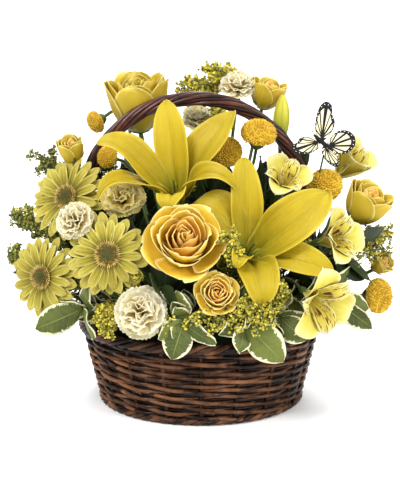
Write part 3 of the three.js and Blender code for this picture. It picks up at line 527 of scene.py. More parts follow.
def petal(blank, spine, up, half, wrap=0.3, wave=None, fringe=None, tone=0.5, tight=1.0):
    """A copy of the blank sheet bent along a spine. half and wrap give the half width and the half
    angle of its hollow at a share u of its length, wave lifts it and fringe moves its end out."""
    piece = blank.copy()
    piece.data = blank.data.copy()
    scene.collection.objects.link(piece)
    places = corners(piece)
    v = 2 * places[:, 0]
    u = 1 - (0.5 - places[:, 1]) ** tight
    middle, tangent = bezier(spine, u)
    side = unit(np.cross(tangent, up))
    upright = np.cross(side, tangent)
    width = half(u)
    angle = wrap(u) if callable(wrap) else np.full(len(u), float(wrap))
    aside = width * np.sin(v * angle) / angle
    hollow = width * (1 - np.cos(v * angle)) / angle + (wave(u, v) if wave else 0)
    middle = middle + side * aside[:, None] + upright * hollow[:, None]
    if fringe:
        middle = middle + tangent * fringe(u, v)[:, None]
    piece.data.vertices.foreach_set("co", (middle * MM).ravel())
    set_tone(piece, tone)
    return piece


def swelling(u, least, full, power=1):
    """The share of its full width that a petal has at u, growing from least up to full."""
    return least + (1 - least) * np.sin(np.pi / 2 * np.minimum(1, u / full)) ** power


def rounded_tip(u, start, power, blunt):
    """The share of its full width that a petal has at u, rounding off from start to its tip."""
    return (1 - np.maximum(0, (u - start) / (1.005 - start)) ** power) ** blunt


def flesh(parts, thickness, finish):
    """Petals or leaves joined into one mesh, with their thickness and their finish."""
    piece = join(parts)
    choose(piece)
    solid = piece.modifiers.new("thickness", "SOLIDIFY")
    solid.thickness = thickness * MM
    solid.offset = 0
    bpy.ops.object.modifier_apply(modifier=solid.name)
    bpy.ops.object.shade_smooth_by_angle(angle=math.radians(65))
    paint(piece, finish)
    return piece


# Stems leave the foam at its top, and stand a little closer together at their feet.
FOAM_TOP = 95
FOOT_SPREAD = 0.94


def stem_foot(node):
    """Where the stem of a node ends in the foam, and where it leaves the foam."""
    ends = [v.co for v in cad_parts[node].data.vertices]
    lowest = min(place.z for place in ends)
    ends = [place for place in ends if place.z < lowest + 0.0002]
    foot = np.array(sum(ends, Vector()) / len(ends)) / MM
    return [foot, np.array([foot[0] / FOOT_SPREAD, foot[1] / FOOT_SPREAD, FOAM_TOP])]


def stem_points(node, at, back, sink, neck=26):
    foot, mouth = stem_foot(node)
    top = np.array(at, float) - unit(back) * sink
    bend = np.array(at, float) - unit(back) * (sink + neck)
    return [foot, mouth, bend + (mouth - bend) * 0.45, bend, top]


def stem_of(points, radius, flare):
    """A stem through its points, whose upper end is flare times as thick as its lower one."""
    line = smooth_line(points, 36)
    radii = radius * (1 + (flare - 1) * np.linspace(0, 1, 36) ** 6)
    return rods([(line, radii)], 8, finish=GREEN_STEM)


def petal_finish(name, stops, edge, edge_start=0.8, ribs=16, depth=0.0003, rough=0.5, groove=None):
    """The skin of a petal. stops are its colours from root to tip, edge is its rim's, and groove
    is that of the line along its middle."""
    finish = Finish(name, Subsurface_Weight=0.2, Subsurface_Scale=0.004, Specular_IOR_Level=0.22)
    finish.shader.inputs["Subsurface Radius"].default_value = (1.0, 0.8, 0.35)
    place, split, along, across = finish.petal_map()
    tone = finish.tone()
    patch = finish.noise(55.0)
    colour = finish.node("ShaderNodeValToRGB", {"stops": stops}, {0: along + patch * 0.1 - 0.05})
    if groove:
        line = (1 - across.rise(0.0, 0.10)) * (1 - along.rise(0.4, 0.95)) * 0.45
        colour = finish.mix(line, colour, groove)
    colour = finish.mix((across + patch * 0.16 - 0.08).rise(edge_start, 1.0), colour, edge)
    shade = (tone * 0.5 + patch * 0.5).rise(0.1, 0.9)
    stretched = finish.node("ShaderNodeCombineXYZ", {}, {0: split * ribs, 1: along * 2.5, 2: tone})
    rib = finish.noise(1.0, 3.0, stretched)
    shade = finish.mix((shade * 0.7 + rib * 0.5).rise(0.1, 1.0), (0.74, 0.72, 0.62), (1, 1, 1))
    settings = {"data_type": "RGBA", "blend_type": "MULTIPLY"}
    colour = finish.node("ShaderNodeMix", settings, {0: 1.0, 6: colour, 7: shade}, 2)
    finish.feed("Base Color", colour)
    finish.feed("Roughness", rough + rib * 0.15)
    finish.bump(rib, depth)
    return finish


GREEN_STEM = speckled(
    "green_stem", 120.0, (0.035, 0.066, 0.010), (0.09, 0.14, 0.022), Roughness=0.5
)
LILY_STOPS = [
    (0.0, (0.15, 0.18, 0.02)), (0.22, (0.32, 0.27, 0.015)),
    (0.45, (0.46, 0.335, 0.011)), (1.0, (0.55, 0.415, 0.018)),
]
LILY_SKIN = petal_finish(
    "lily_petal", LILY_STOPS, (0.64, 0.50, 0.05),
    edge_start=0.82, ribs=34, depth=0.0010, rough=0.36, groove=(0.30, 0.26, 0.02),
)
# Each lily: its throat, its axis, and the tip, the bend and the half width of its petals.
LILIES = {
    "lily_upper": (
        (-25, -45, 212),
        (-0.2, -0.6, 0.8),
        [
            ((-35, -30, 300), (-28, -46, 268), 17),
            ((31, -30, 290), (5, -48, 262), 21),
            ((33, -82, 219), (2, -84, 256), 12),
            ((-31, -84, 196), (-28, -90, 226), 14),
            ((-95, -92, 209), (-74, -86, 250), 11),
            ((-95, -72, 262), (-66, -66, 262), 20),
        ],
    ),
    "lily_front": (
        (45, -75, 160),
        (0.15, -0.8, 0.55),
        [
            ((40, -62, 247), (40, -78, 220), 16),
            ((116, -88, 216), (88, -108, 196), 23),
            ((121, -98, 139), (98, -122, 166), 16),
            ((54, -124, 118), (53, -136, 156), 20),
            ((31, -122, 152), (36, -120, 172), 10),
            ((-11, -58, 203), (14, -92, 208), 24),
        ],
    ),
}
lily_sheet = sheet(18, 36)
for name, (throat, axis, petals) in LILIES.items():
    up = unit(axis)
    start = np.array(throat, float)
    heart = start - up * 16
    parts = []
    for k, (tip, bend, width) in enumerate(petals):
        spread = np.array(bend, float) - start
        spread = unit(spread - up * spread.dot(up))
        spine = [heart + spread * 3, start + spread * 9, bend, tip]
        made = petal(
            lily_sheet, spine, up,
            lambda u: width * swelling(u, 0.3, 0.55, 1.4) * rounded_tip(u, 0.55, 2.4, 0.68),
            lambda u: 0.42 + 0.62 * (1 - u) ** 1.5,
            lambda u, v: (
                np.abs(v) ** 3 * 2.6 * np.sin(3.6 * np.pi * u + k + 1.5 * (v > 0)) * (u > 0.2)
                - 2.0 * np.exp(-((v / 0.12) ** 2)) * (1 - u) ** 0.4
                - 0.5 * np.cos(3 * np.pi * v) * (1 - u**2)
                - 120 * np.maximum(0, u - 0.84) ** 2
            ),
            tone=rng.uniform(0.3, 1), tight=1.25,
        )
        parts.append(made)
    bloom = flesh(parts, 0.8, LILY_SKIN)
    stem = stem_of(stem_points(name, start - up * 18, up, 0), 2.3, 1.9)
    throat_line = [start - up * k for k in (30, 24, 18, 12, 9)]
    funnel = rods([(throat_line, (2.8, 5.0, 6.0, 5.0, 1.5))], 12, finish=GREEN_STEM)
    style = smooth_line([heart, start, start + up * 14 + (2, -1, 1)], 12)
    style = rods([(style, 0.8)], 8, finish=GREEN_STEM)
    finish_piece([bloom, stem, funnel, style], name + "_bloom", "lily", name)
bpy.data.objects.remove(lily_sheet)


# ---- Gerberas ----
# Three gerberas with two rows of pleated pale green-yellow ray petals, which darken towards their
# root as painted shade between the rays. Short tan florets lie round the grey-green disc, whose
# buds are packed in a spiral.
def facing_out(out, spin):
    """Turns +Z to a direction, after a spin about it."""
    turn = Vector((0, 0, 1)).rotation_difference(Vector(out).normalized())
    return turn.to_matrix().to_4x4() @ Matrix.Rotation(spin, 4, "Z")


def bloom_frame(at, face, roll=0.0):
    """Turns a bloom made at the origin, facing +Z, to its place."""
    return Matrix.Translation(Vector(at) * MM) @ facing_out(face, roll)


def spindle(heights, radii, sides, finish, tone=0.5):
    """A round body about the Z axis, from its radii at some heights."""
    return rods([([(0, 0, z) for z in heights], radii)], sides, tones=[tone], finish=finish)


def plant(parts, name, slot, at, face, stem, flare=1.3, sink=8, neck=26, roll=0.0):
    """Puts a bloom made at the origin in its place, on its stem. stem is half its thickness."""
    head = join(parts)
    head.data.transform(bloom_frame(at, face, roll))
    stem = stem_of(stem_points(name, at, face, sink, neck), stem, flare)
    finish_piece([head, stem], name + "_bloom", slot, name)


# A small pointed bud of eight faces.
BUD_POINTS = [(0, 0, 0), (1, 0, 0.45), (0, 1, 0.5), (-1, 0, 0.45), (0, -1, 0.5), (0, 0, 1)]
BUD_POINTS = np.column_stack([np.array(BUD_POINTS, float), np.ones(6)])
BUD_FACES = [
    (0, 2, 1), (0, 3, 2), (0, 4, 3), (0, 1, 4), (1, 2, 5), (2, 3, 5), (3, 4, 5), (4, 1, 5),
]


def scatter(places, tones, *finishes):
    """One mesh of many small buds, each put in place by its own matrix."""
    points = np.concatenate([BUD_POINTS @ np.array(place).T for place in places])[:, :3]
    shift = len(BUD_POINTS)
    faces = [tuple(i + k * shift for i in face) for k in range(len(places)) for face in BUD_FACES]
    mesh = bpy.data.meshes.new("florets")
    mesh.from_pydata(points * MM, [], faces)
    florets = bpy.data.objects.new("florets", mesh)
    scene.collection.objects.link(florets)
    set_tone(florets, np.repeat(tones, shift))
    paint(florets, *finishes)
    return florets


def pointing(place, out, size, length, spin=0.0):
    """The place of a small shape that points out, with its width and its length."""
    grown = Matrix.Diagonal((size, size, length, 1))
    return Matrix.Translation(Vector(place)) @ facing_out(out, spin) @ grown


def floret_finish(name, dark, light):
    finish = Finish(name, Roughness=0.7)
    share = (finish.tone() + finish.noise(700.0) * 0.5 - 0.25).rise(0.05, 0.95)
    finish.feed("Base Color", finish.mix(share, dark, light))
    finish.bump(finish.noise(2500.0), 0.0002, 0.5)
    return finish


# The rays grow darker towards the root: painted shade where they lie over each other by the disc.
SHADED_ROOT_RAY_STOPS = [(0.0, (0.12, 0.10, 0.01)), (0.4, (0.40, 0.33, 0.04)), (1.0, (0.64, 0.55, 0.12))]
RAY_SKIN = petal_finish(
    "gerbera_ray", SHADED_ROOT_RAY_STOPS, (0.68, 0.59, 0.16), edge_start=0.72, ribs=14, depth=0.0010
)
DISC_SKIN = floret_finish("gerbera_buds", (0.06, 0.055, 0.012), (0.25, 0.23, 0.06))
RING_SKIN = floret_finish("gerbera_ring", (0.17, 0.085, 0.012), (0.64, 0.47, 0.12))
GERBERAS = {
    "gerbera_centre": ((-84, -99, 160), (-0.1, -0.95, 0.22), 40),
    "gerbera_upper": ((-128, -45, 207), (-0.4, -0.85, 0.36), 43),
    "gerbera_lower": ((-150, -62, 133), (-0.5, -0.85, 0.1), 41),
}
# Each row of rays: their number, their share of the reach, and the heights of middle and root.
RAY_ROWS = [(19, 1.0, -3.2, -3.4), (16, 0.86, 1.4, -0.4)]
RAY_HALF_WIDTH = 5.3
DISC_BUDS = 150
RING_FLORETS = 108
# Each tier of the ring: lean of its florets and radius of their roots.
RING_TIERS = [(0.5, 6.4), (1.2, 7.2), (2.6, 8.0)]
GOLDEN_ANGLE = np.pi * (3 - 5**0.5)
ray_sheet = sheet(9, 12)
for name, (at, face, reach) in GERBERAS.items():
    parts = []
    for row, (count, share, lift, root) in enumerate(RAY_ROWS):
        for k in range(count):
            angle = 2 * np.pi * (k + 0.5 * row + rng.uniform(-0.16, 0.16)) / count
            length = reach * share * rng.uniform(0.9, 1.0)
            droop = rng.uniform(-2.5, 1.2)
            twist = rng.uniform(-0.3, 0.3)
            spine = [
                radial(angle, 7.5, root),
                radial(angle, length * 0.6, lift + 3.4),
                radial(angle + rng.uniform(-0.06, 0.06), length, lift - 0.6 + droop),
            ]
            broad = RAY_HALF_WIDTH * share * rng.uniform(0.88, 1.1)
            made = petal(
                ray_sheet, spine, (0, 0, 1),
                lambda u: broad * swelling(u, 0.42, 0.6) * rounded_tip(u, 0.66, 2.4, 0.6),
                0.5,
                lambda u, v: (
                    0.55 * np.cos(3 * np.pi * v) * np.minimum(1, 3 * u) * (1 - u**5)
                    + twist * broad * v * u
                ),
                lambda u, v: -0.35 * (u > 0.9) * np.cos(3 * np.pi * v) ** 2,
                tone=rng.uniform(0, 1), tight=1.5,
            )
            parts.append(made)
    bloom = flesh(parts, 0.55, RAY_SKIN)
    calyx = spindle((-13, -11, -7, -3, 0, 1.2), (2.4, 4.2, 9.5, 11.6, 11, 8), 16, GREEN_STEM)
    plant([bloom, calyx], name, "gerbera", at, face, 2.1, sink=7)
    spots, tones = [], []
    for k in range(DISC_BUDS):
        radius = 6.2 * (k / DISC_BUDS) ** 0.5
        angle = k * GOLDEN_ANGLE
        place = radial(angle, radius, 2.2 - 0.03 * radius)
        out = radial(angle, 0.3 * radius / 7, 1)
        spots.append(pointing(place, out, 0.42 + 0.035 * radius, 2.8))
        tones.append(rng.uniform(0.1, 0.6) + 0.4 * radius / 7.4)
    buds = scatter(spots, tones, DISC_SKIN)
    cushion = spindle((1.5, 3.0, 3.4), (8.2, 8.0, 5.0), 16, DISC_SKIN)
    spots, tones = [], []
    for k in range(RING_FLORETS):
        tier = k % 3
        lean, radius = RING_TIERS[tier]
        angle = 2 * np.pi * (k + rng.uniform(-0.3, 0.3)) / RING_FLORETS
        start = radial(angle, radius, 3.0 - 0.2 * tier)
        length = rng.uniform(3.6, 4.8) + 0.7 * tier
        spots.append(pointing(start, radial(angle, lean, 1), 0.6 + 0.12 * tier, length, angle))
        tones.append(rng.uniform(0, 0.6) + 0.2 * tier)
    ring = scatter(spots, tones, RING_SKIN)
    disc = join([buds, cushion, ring])
    disc.data.transform(bloom_frame(at, face))
    finish_piece([disc], name + "_florets", "gerbera_disc", name + "_disc")
bpy.data.objects.remove(ray_sheet)


# ---- Roses and spray roses ----
# Two large roses and five spray roses. Their petals stand in whorls that wrap the bud in a
# spiral; the outer ones open and roll back at a pale rim, over green sepals.
ROSE_STOPS = [
    (0.0, (0.50, 0.40, 0.04)), (0.3, (0.80, 0.52, 0.04)),
    (0.8, (0.86, 0.60, 0.07)), (1.0, (0.94, 0.80, 0.34)),
]
CUP_STOPS = [
    (0.0, (0.38, 0.32, 0.03)), (0.3, (0.52, 0.36, 0.022)),
    (0.85, (0.58, 0.41, 0.035)), (1.0, (0.78, 0.63, 0.16)),
]
HEART_STOPS = [(0.0, (0.92, 0.38, 0.03)), (0.6, (0.94, 0.52, 0.09)), (1.0, (0.95, 0.66, 0.20))]
ROSE_SKIN = petal_finish("rose_petal", ROSE_STOPS, (0.93, 0.76, 0.30))
CUP_SKIN = petal_finish("cup_rose_petal", CUP_STOPS, (0.78, 0.64, 0.20))
HEART_SKIN = petal_finish("rose_heart", HEART_STOPS, (0.95, 0.66, 0.20), edge_start=0.75)
# Each whorl: petals, radii of its foot, waist and mouth, height of its mouth, and roll of its rim.
OPEN_ROSE = [
    (2, 0.04, 0.09, 0.05, 0.66, 0.0),
    (3, 0.08, 0.16, 0.11, 0.67, 0.0),
    (3, 0.11, 0.24, 0.18, 0.67, 0.0),
    (3, 0.15, 0.34, 0.28, 0.66, 0.02),
    (3, 0.18, 0.46, 0.41, 0.63, 0.06),
    (4, 0.22, 0.59, 0.58, 0.60, 0.08),
    (4, 0.25, 0.70, 0.76, 0.50, 0.12),
    (5, 0.28, 0.86, 1.04, 0.12, 0.12),
]
CUP_ROSE = [
    (2, 0.06, 0.12, 0.07, 0.50, 0.0),
    (3, 0.12, 0.26, 0.20, 0.52, 0.0),
    (3, 0.18, 0.42, 0.36, 0.54, 0.02),
    (3, 0.24, 0.56, 0.55, 0.60, 0.04),
    (4, 0.30, 0.68, 0.76, 0.64, 0.08),
    (5, 0.34, 0.79, 0.88, 0.62, 0.10),
]
rose_sheet = sheet(14, 14)


def rose_head(whorls, size, opening, depth, low):
    """The petals of a rose at the origin, facing +Z: those of its heart, and its open ones."""
    heart, opened = [], []
    for row, (count, foot, waist, mouth, top, roll) in enumerate(whorls):
        outer = row >= len(whorls) - 3
        for k in range(count):
            angle = 2 * np.pi * (k + 0.5 * row) / count + 0.7 * row + rng.uniform(-0.12, 0.12)
            jitter = rng.uniform(0.95, 1.04)
            near, middle = foot * size, waist * size * opening
            far = mouth * size * opening * jitter
            spine = [
                radial(angle, near, -depth * low),
                radial(angle, middle * 1.22, -depth * low * 0.5),
                radial(angle, far, depth * top * jitter),
            ]
            cover = min(np.pi * (1.65 if count > 3 else 1.36) / count, 1.3)
            curl = 0.7 if top < 0.2 else cover
            rim = max(far, 0.8 * middle)
            lift = rng.uniform(0.7, 1.3)
            made = petal(
                rose_sheet, spine, radial(angle, -1, 0.6),
                lambda u: rounded_tip(u, 0.3, 3.0, 0.5) * np.minimum(
                    cover * (near * (1 - u) ** 2 + middle * 2.44 * u * (1 - u) + rim * u**2),
                    0.8 * size,
                ),
                lambda u: curl * (0.08 + 0.92 * rounded_tip(u, 0.3, 3.0, 0.5)),
                lambda u, v: (
                    -roll * lift * size * 3.4 * np.maximum(0, u - 0.66) ** 1.6
                    - roll * size * 0.8 * np.maximum(0, np.abs(v) - 0.5) ** 1.4 * u
                    + 0.05 * size * v
                    + 0.018 * size * np.sin(5 * v + 3 * k) * u**3 * outer
                ),
                lambda u, v: -roll * size * 2.4 * np.maximum(0, u - 0.8) * (1 - 0.4 * v**2),
                tone=rng.uniform(0.2, 1), tight=1.35,
            )
            (opened if outer else heart).append(made)
    return heart, opened


def rose_bloom(
    name, at, face, size, whorls, tall=0.75, opening=1.0, skin=HEART_SKIN, stem=1.6, **seat
):
    """A rose with green sepals on its stem. tall is its height beside its radius."""
    low = 1.05 if whorls is CUP_ROSE else 0.7
    depth = size * tall
    heart, opened = rose_head(whorls, size, opening, depth, low)
    heights = np.multiply(depth, (-0.8, 0, 0.45, 0.6))
    core = spindle(heights, np.multiply(size, (0.1, 0.09, 0.06, 0.02)), 10, skin)
    heart = flesh(heart, 0.5, skin)
    opened = flesh(opened, 0.5, CUP_SKIN if whorls is CUP_ROSE else ROSE_SKIN)
    foot = whorls[-1][1]
    heights = np.multiply(depth, (-1.22, -1.12, -low - 0.06, -0.6, -0.2))
    hip = spindle(heights, np.multiply(size, (0.08, 0.14, 0.9 * foot, foot, 0.1)), 12, GREEN_STEM)
    sepals = []
    for k in range(5):
        angle = 2 * np.pi * k / 5
        spine = [
            radial(angle, size * 0.2, -depth * 1.02),
            radial(angle, size * 0.66, -depth * 0.85),
            radial(angle, size * 0.78, -depth * 0.3 - size * 0.3 * (k % 2)),
        ]
        made = petal(
            rose_sheet, spine, radial(angle, -1, 0.6),
            lambda u: size * 0.15 * (1.02 - u) ** 0.7,
            0.6,
        )
        sepals.append(made)
    sepals = flesh(sepals, 0.6, GREEN_STEM)
    slot = "spray_rose" if name.startswith("spray") else "rose"
    plant([heart, core, opened, hip, sepals], name, slot, at, face, stem, **seat)


rose_bloom(
    "rose_front", (-15, -106, 174), (0.03, -0.84, 0.5), 33, OPEN_ROSE, 0.85,
    stem=2.2, sink=14, roll=0.3,
)
rose_bloom(
    "rose_back", (-65, 32, 303), (-0.06, -0.3, 0.95), 34, CUP_ROSE, 0.95,
    skin=CUP_SKIN, stem=2.2, sink=14, roll=0.4,
)
rose_bloom("spray_rose_front", (14, -121, 129), (0.1, -0.88, 0.42), 18, OPEN_ROSE[2:])
rose_bloom("spray_rose_left", (-126, -26, 253), (-0.1, -0.45, 0.9), 15.5, CUP_ROSE, 0.95, 0.85)
rose_bloom("spray_rose_top", (68, 32, 309), (0.25, -0.3, 0.9), 20, CUP_ROSE, 0.85)
rose_bloom("spray_rose_right", (162, -30, 202), (0.4, -0.35, 0.8), 24, CUP_ROSE, 0.9, neck=12)
rose_bloom("spray_rose_low", (179, -26, 140), (0.5, -0.6, 0.5), 14, CUP_ROSE, opening=0.8, neck=12)
bpy.data.objects.remove(rose_sheet)


# ---- Carnations ----
# Five cream carnations. Fan-shaped petals with toothed, ruffled ends stand in whorls, flat on
# the outside and upright in the heart, which is a little yellower, over a long green calyx.
CREAM_STOPS = [(0.0, (0.66, 0.40, 0.08)), (0.6, (0.76, 0.62, 0.28)), (1.0, (0.88, 0.83, 0.62))]
# The carnation under the upper lily gets darker, yellower stops: painted shade of the lily petal
# over a cream flower.
LILY_SHADED_STOPS = [(0.0, (0.62, 0.38, 0.05)), (0.55, (0.70, 0.52, 0.11)), (1.0, (0.82, 0.70, 0.28))]
FRILLED = {"edge_start": 0.85, "ribs": 18, "rough": 0.6}
CARNATION_SKIN = petal_finish("carnation_petal", CREAM_STOPS, (0.92, 0.89, 0.74), **FRILLED)
LILY_SHADED_CARNATION = petal_finish(
    "lily_shaded_carnation_petal", LILY_SHADED_STOPS, (0.90, 0.82, 0.48), **FRILLED
)
CARNATIONS = {
    "carnation_front": (CARNATION_SKIN, (-53, -121, 111), (-0.1, -0.9, 0.35), 25),
    "carnation_left": (CARNATION_SKIN, (-114, -84, 188), (-0.3, -0.8, 0.5), 19),
    "carnation_centre": (LILY_SHADED_CARNATION, (-73, -58, 205), (-0.1, -0.75, 0.6), 22),
    "carnation_top": (CARNATION_SKIN, (37, 28, 312), (0.05, -0.55, 0.83), 19),
    "carnation_back": (CARNATION_SKIN, (-4, 33, 280), (0, -0.6, 0.8), 17),
}
# Each whorl: petals, their lean from the axis in degrees, and depth of their ruffles.
FRILLS = [(8, 90, 0.05), (8, 70, 0.06), (6, 50, 0.08), (4, 30, 0.12), (3, 12, 0.14)]
frill_sheet = sheet(16, 7)
for name, (skin, at, face, size) in CARNATIONS.items():
    parts = []
    for row, (count, lean, depth) in enumerate(FRILLS):
        for k in range(count):
            angle = 2 * np.pi * (k + 0.5 * row + rng.uniform(-0.2, 0.2)) / count
            tilt = math.radians(lean + rng.uniform(-7, 7))
            out = radial(angle, np.sin(tilt), np.cos(tilt))
            facing = radial(angle + rng.uniform(-0.5, 0.5), -np.cos(tilt), np.sin(tilt))
            length = size * rng.uniform(0.85, 1.02) * (0.72 + 0.28 * np.sin(tilt) ** 0.5)
            start = np.array([0, 0, -size * 0.22]) + out * size * 0.08
            bend = out * size * 0.5 + (0, 0, size * 0.1)
            ruffle, shift = rng.uniform(1.6, 2.6), rng.uniform(0, 6)
            made = petal(
                frill_sheet, [start, bend, out * length], facing,
                lambda u: size * (0.05 + 0.5 * u**1.25),
                0.55,
                lambda u, v: size * depth * u**2 * (
                    np.sin(ruffle * np.pi * v + shift) + 0.35 * np.sin(7 * v + 2 * shift)
                ),
                lambda u, v: (
                    size * np.maximum(0, u - 0.6) / 0.4
                    * (0.03 * np.cos(9 * np.pi * v) - 0.2 * v**2)
                ),
                tone=rng.uniform(0, 1),
            )
            parts.append(made)
    bloom = flesh(parts, 0.4, skin)
    heights = np.multiply(size, (-1.1, -1.0, -0.6, -0.3, -0.05))
    calyx = spindle(heights, np.multiply(size, (0.12, 0.2, 0.24, 0.28, 0.1)), 8, GREEN_STEM)
    plant([bloom, calyx], name, "carnation", at, face, 1.6)
bpy.data.objects.remove(frill_sheet)


# ---- Button chrysanthemums ----
# Six golden button blooms: a tight dome of hundreds of short tube florets in a spiral, brighter
# at their tips, over a flat green cup.
BUTTON_SKIN = floret_finish("button_florets", (0.48, 0.26, 0.010), (0.76, 0.52, 0.03))
# Each bloom: its place, its face, its radius and the length of its bent neck.
BUTTONS = {
    "button_high": ((25, -14, 249), (-0.1, -0.9, 0.4), 16, 26),
    "button_arch": ((56, -20, 267), (0.1, -0.45, 0.8), 18, 26),
    "button_right": ((120, -29, 217), (-0.3, -0.75, 0.55), 18, 10),
    "button_low_right": ((174, -34, 109), (0.75, -0.6, 0.1), 18, 26),
    "button_back_left": ((-108, 32, 278), (-0.5, -0.3, -0.25), 12, 26),
    "button_left": ((-92, -12, 244), (-0.4, -0.5, 0.2), 12, 26),
}
for name, (at, face, size, neck) in BUTTONS.items():
    spots, tones = [], []
    count = int(21 * size)
    for k in range(count):
        tilt = np.arccos(1 - 1.4 * (k + 0.5) / count)
        angle = k * GOLDEN_ANGLE
        out = radial(angle, np.sin(tilt), np.cos(tilt))
        place = out * (size * 0.82, size * 0.82, size * 0.56)
        width = size * 0.08 * (0.75 + 0.4 * np.sin(tilt))
        length = size * rng.uniform(0.16, 0.22)
        lean = out + (0, 0, 0.15) + rng.normal(0, 0.12, 3)
        spots.append(pointing(place, lean, width, length, rng.uniform(0, 3)))
        tones.append(rng.uniform(0.2, 0.8) + 0.2 * (k % 3 == 0))
    florets = scatter(spots, tones, BUTTON_SKIN)
    levels = np.linspace(-0.9, 1, 9)
    radii = size * 0.86 * np.sqrt(np.maximum(0.004, 1 - levels**2))
    core = spindle(levels * size * 0.6, radii, 14, BUTTON_SKIN, 0.3)
    heights = np.multiply(-size, (0.98, 0.9, 0.62, 0.4))
    cup = spindle(heights, (2.2, 4, size * 0.5, 3), 8, GREEN_STEM)
    plant([florets, core, cup], name, "button", at, face, 1.5, flare=1.2, sink=4, neck=neck)


# ---- Alstroemerias and the lily bud ----
# Four yellow alstroemerias with cream tips: three broad outer petals, three narrow ones with
# brown dashes, and curved stamens. Beside the handle stands one ribbed lily bud.
TEPAL_STOPS = [
    (0.0, (0.30, 0.32, 0.04)), (0.25, (0.62, 0.48, 0.05)),
    (0.65, (0.73, 0.61, 0.10)), (1.0, (0.85, 0.80, 0.46)),
]


def alstroemeria_finish(name, dashes):
    finish = petal_finish(
        name, TEPAL_STOPS, (0.80, 0.74, 0.32),
        edge_start=0.7, ribs=22, depth=0.0007, rough=0.42, groove=(0.50, 0.48, 0.08),
    )
    if dashes:
        skin = Wire(finish, finish.shader.inputs["Base Color"].links[0].from_socket)
        place, _, along, _ = finish.petal_map()
        stretch = finish.node("ShaderNodeMapping", {}, {"Vector": place, "Scale": (17, 4.2, 1)})
        mask = finish.noise(1.0, 1.0, stretch).rise(0.55, 0.60) * along.rise(0.15, 0.28)
        mask = mask * (1 - along.rise(0.78, 0.9))
        finish.feed("Base Color", finish.mix(mask, skin, (0.12, 0.035, 0.01)))
    return finish


BROAD_TEPAL = alstroemeria_finish("alstroemeria_outer_petal", False)
STREAKED_TEPAL = alstroemeria_finish("alstroemeria_inner_petal", True)
# Each bloom: its place, its face, its length, how far it opens and its turn about its stem.
ALSTROEMERIAS = {
    "alstroemeria_low": ((97, -97, 124), (0.5, -0.8, -0.25), 46, 0.95, 0.3),
    "alstroemeria_middle": ((113, -62, 167), (0.6, -0.65, 0.25), 42, 0.75, 0.6),
    "alstroemeria_high": ((139, 22, 222), (0.55, -0.5, 0.7), 46, 0.5, 0.2),
    "alstroemeria_inner": ((79, -30, 214), (0.1, -0.7, 0.6), 36, 0.8, 0.1),
}
tepal_sheet = sheet(12, 20)
for name, (at, face, length, spread, roll) in ALSTROEMERIAS.items():
    broad, narrow = [], []
    for k in range(6):
        inner = k % 2
        reach = length * (0.9 if inner else 1) * rng.uniform(0.96, 1)
        lean = spread * (0.8 if inner else 1)
        angle = np.pi * k / 3
        spine = [
            radial(angle, 1.4, -3),
            radial(angle, reach * 0.34 * np.sin(lean), reach * 0.62),
            radial(angle, reach * np.sin(lean), reach * np.cos(lean)),
        ]
        width = length * (0.25 if inner else 0.37)
        made = petal(
            tepal_sheet, spine, radial(angle, -1, 0.6),
            lambda u: width * swelling(u, 0.14, 0.58, 1.3) * rounded_tip(u, 0.58, 2.6, 0.55),
            0.5,
            lambda u, v: (
                1.3 * v**2 * np.sin(6 * u + k) - 1.0 * np.exp(-((v / 0.15) ** 2)) * (1 - u * 0.5)
                - 60 * np.maximum(0, u - 0.8) ** 2
            ),
            lambda u, v: length * 0.05 * np.exp(-((v / 0.16) ** 2)) * (u > 0.9),
            tone=rng.uniform(0.3, 1), tight=1.3,
        )
        (narrow if inner else broad).append(made)
    broad = flesh(broad, 0.5, BROAD_TEPAL)
    narrow = flesh(narrow, 0.5, STREAKED_TEPAL)
    threads, anthers = [], []
    for k in range(6):
        angle = np.pi * (k + 0.5) / 3
        far = length * 0.55
        line = [radial(angle, 1.5, 0), radial(angle, 2.4, far * 0.5), radial(angle, 4.6, far)]
        threads.append((smooth_line(line, 8), 0.35))
        anthers.append(([radial(angle, 4.2, far - 1), radial(angle, 5.4, far + 1.6)], 0.75))
    threads = rods(threads, 6, finish=BROAD_TEPAL)
    anthers = rods(anthers, 6, finish=RING_SKIN)
    funnel = spindle((-13, -11, -6, 0), (1.6, 2.8, 3.8, 2.4), 8, GREEN_STEM)
    head = [broad, narrow, threads, anthers, funnel]
    plant(head, name, "alstroemeria", at, face, 1.4, roll=roll)
bpy.data.objects.remove(tepal_sheet)

BUD_STOPS = [(0.0, (0.22, 0.28, 0.03)), (0.45, (0.58, 0.56, 0.05)), (1.0, (0.74, 0.64, 0.08))]
BUD_SKIN = petal_finish(
    "lily_bud_skin", BUD_STOPS, (0.26, 0.32, 0.04), edge_start=0.45, depth=0.0004, rough=0.45
)
BUD_PLACE, BUD_FACE, BUD_LENGTH = (80, 14, 262), (0.05, 0, 1), 42
bud_sheet = sheet(6, 16)
parts = []
for k in range(6):
    angle = np.pi * k / 3
    spine = [
        radial(angle, 2.2, -4),
        radial(angle, 12.6, BUD_LENGTH * 0.5),
        radial(angle, 0.8, BUD_LENGTH),
    ]
    made = petal(
        bud_sheet, spine, radial(angle, -1, 0.3),
        lambda u: 0.8 + 4.6 * np.sin(np.pi * np.clip(u, 0, 1)) ** 0.8,
        0.7,
        lambda u, v: -0.9 * np.cos(np.pi * v / 2),
        tone=0.3 + 0.4 * (k % 2),
    )
    parts.append(made)
core = spindle((-5, 4, 18, 32, 40), (2.4, 5.2, 7.8, 5.4, 1.2), 12, BUD_SKIN)
bud = join([flesh(parts, 1.0, BUD_SKIN), core])
bud.data.transform(bloom_frame(BUD_PLACE, BUD_FACE))
stem = stem_of(stem_points("lily_bud", BUD_PLACE, BUD_FACE, 0), 1.6, 1.4)
finish_piece([bud, stem], "lily_bud_closed", "bud", "lily_bud")
bpy.data.objects.remove(bud_sheet)


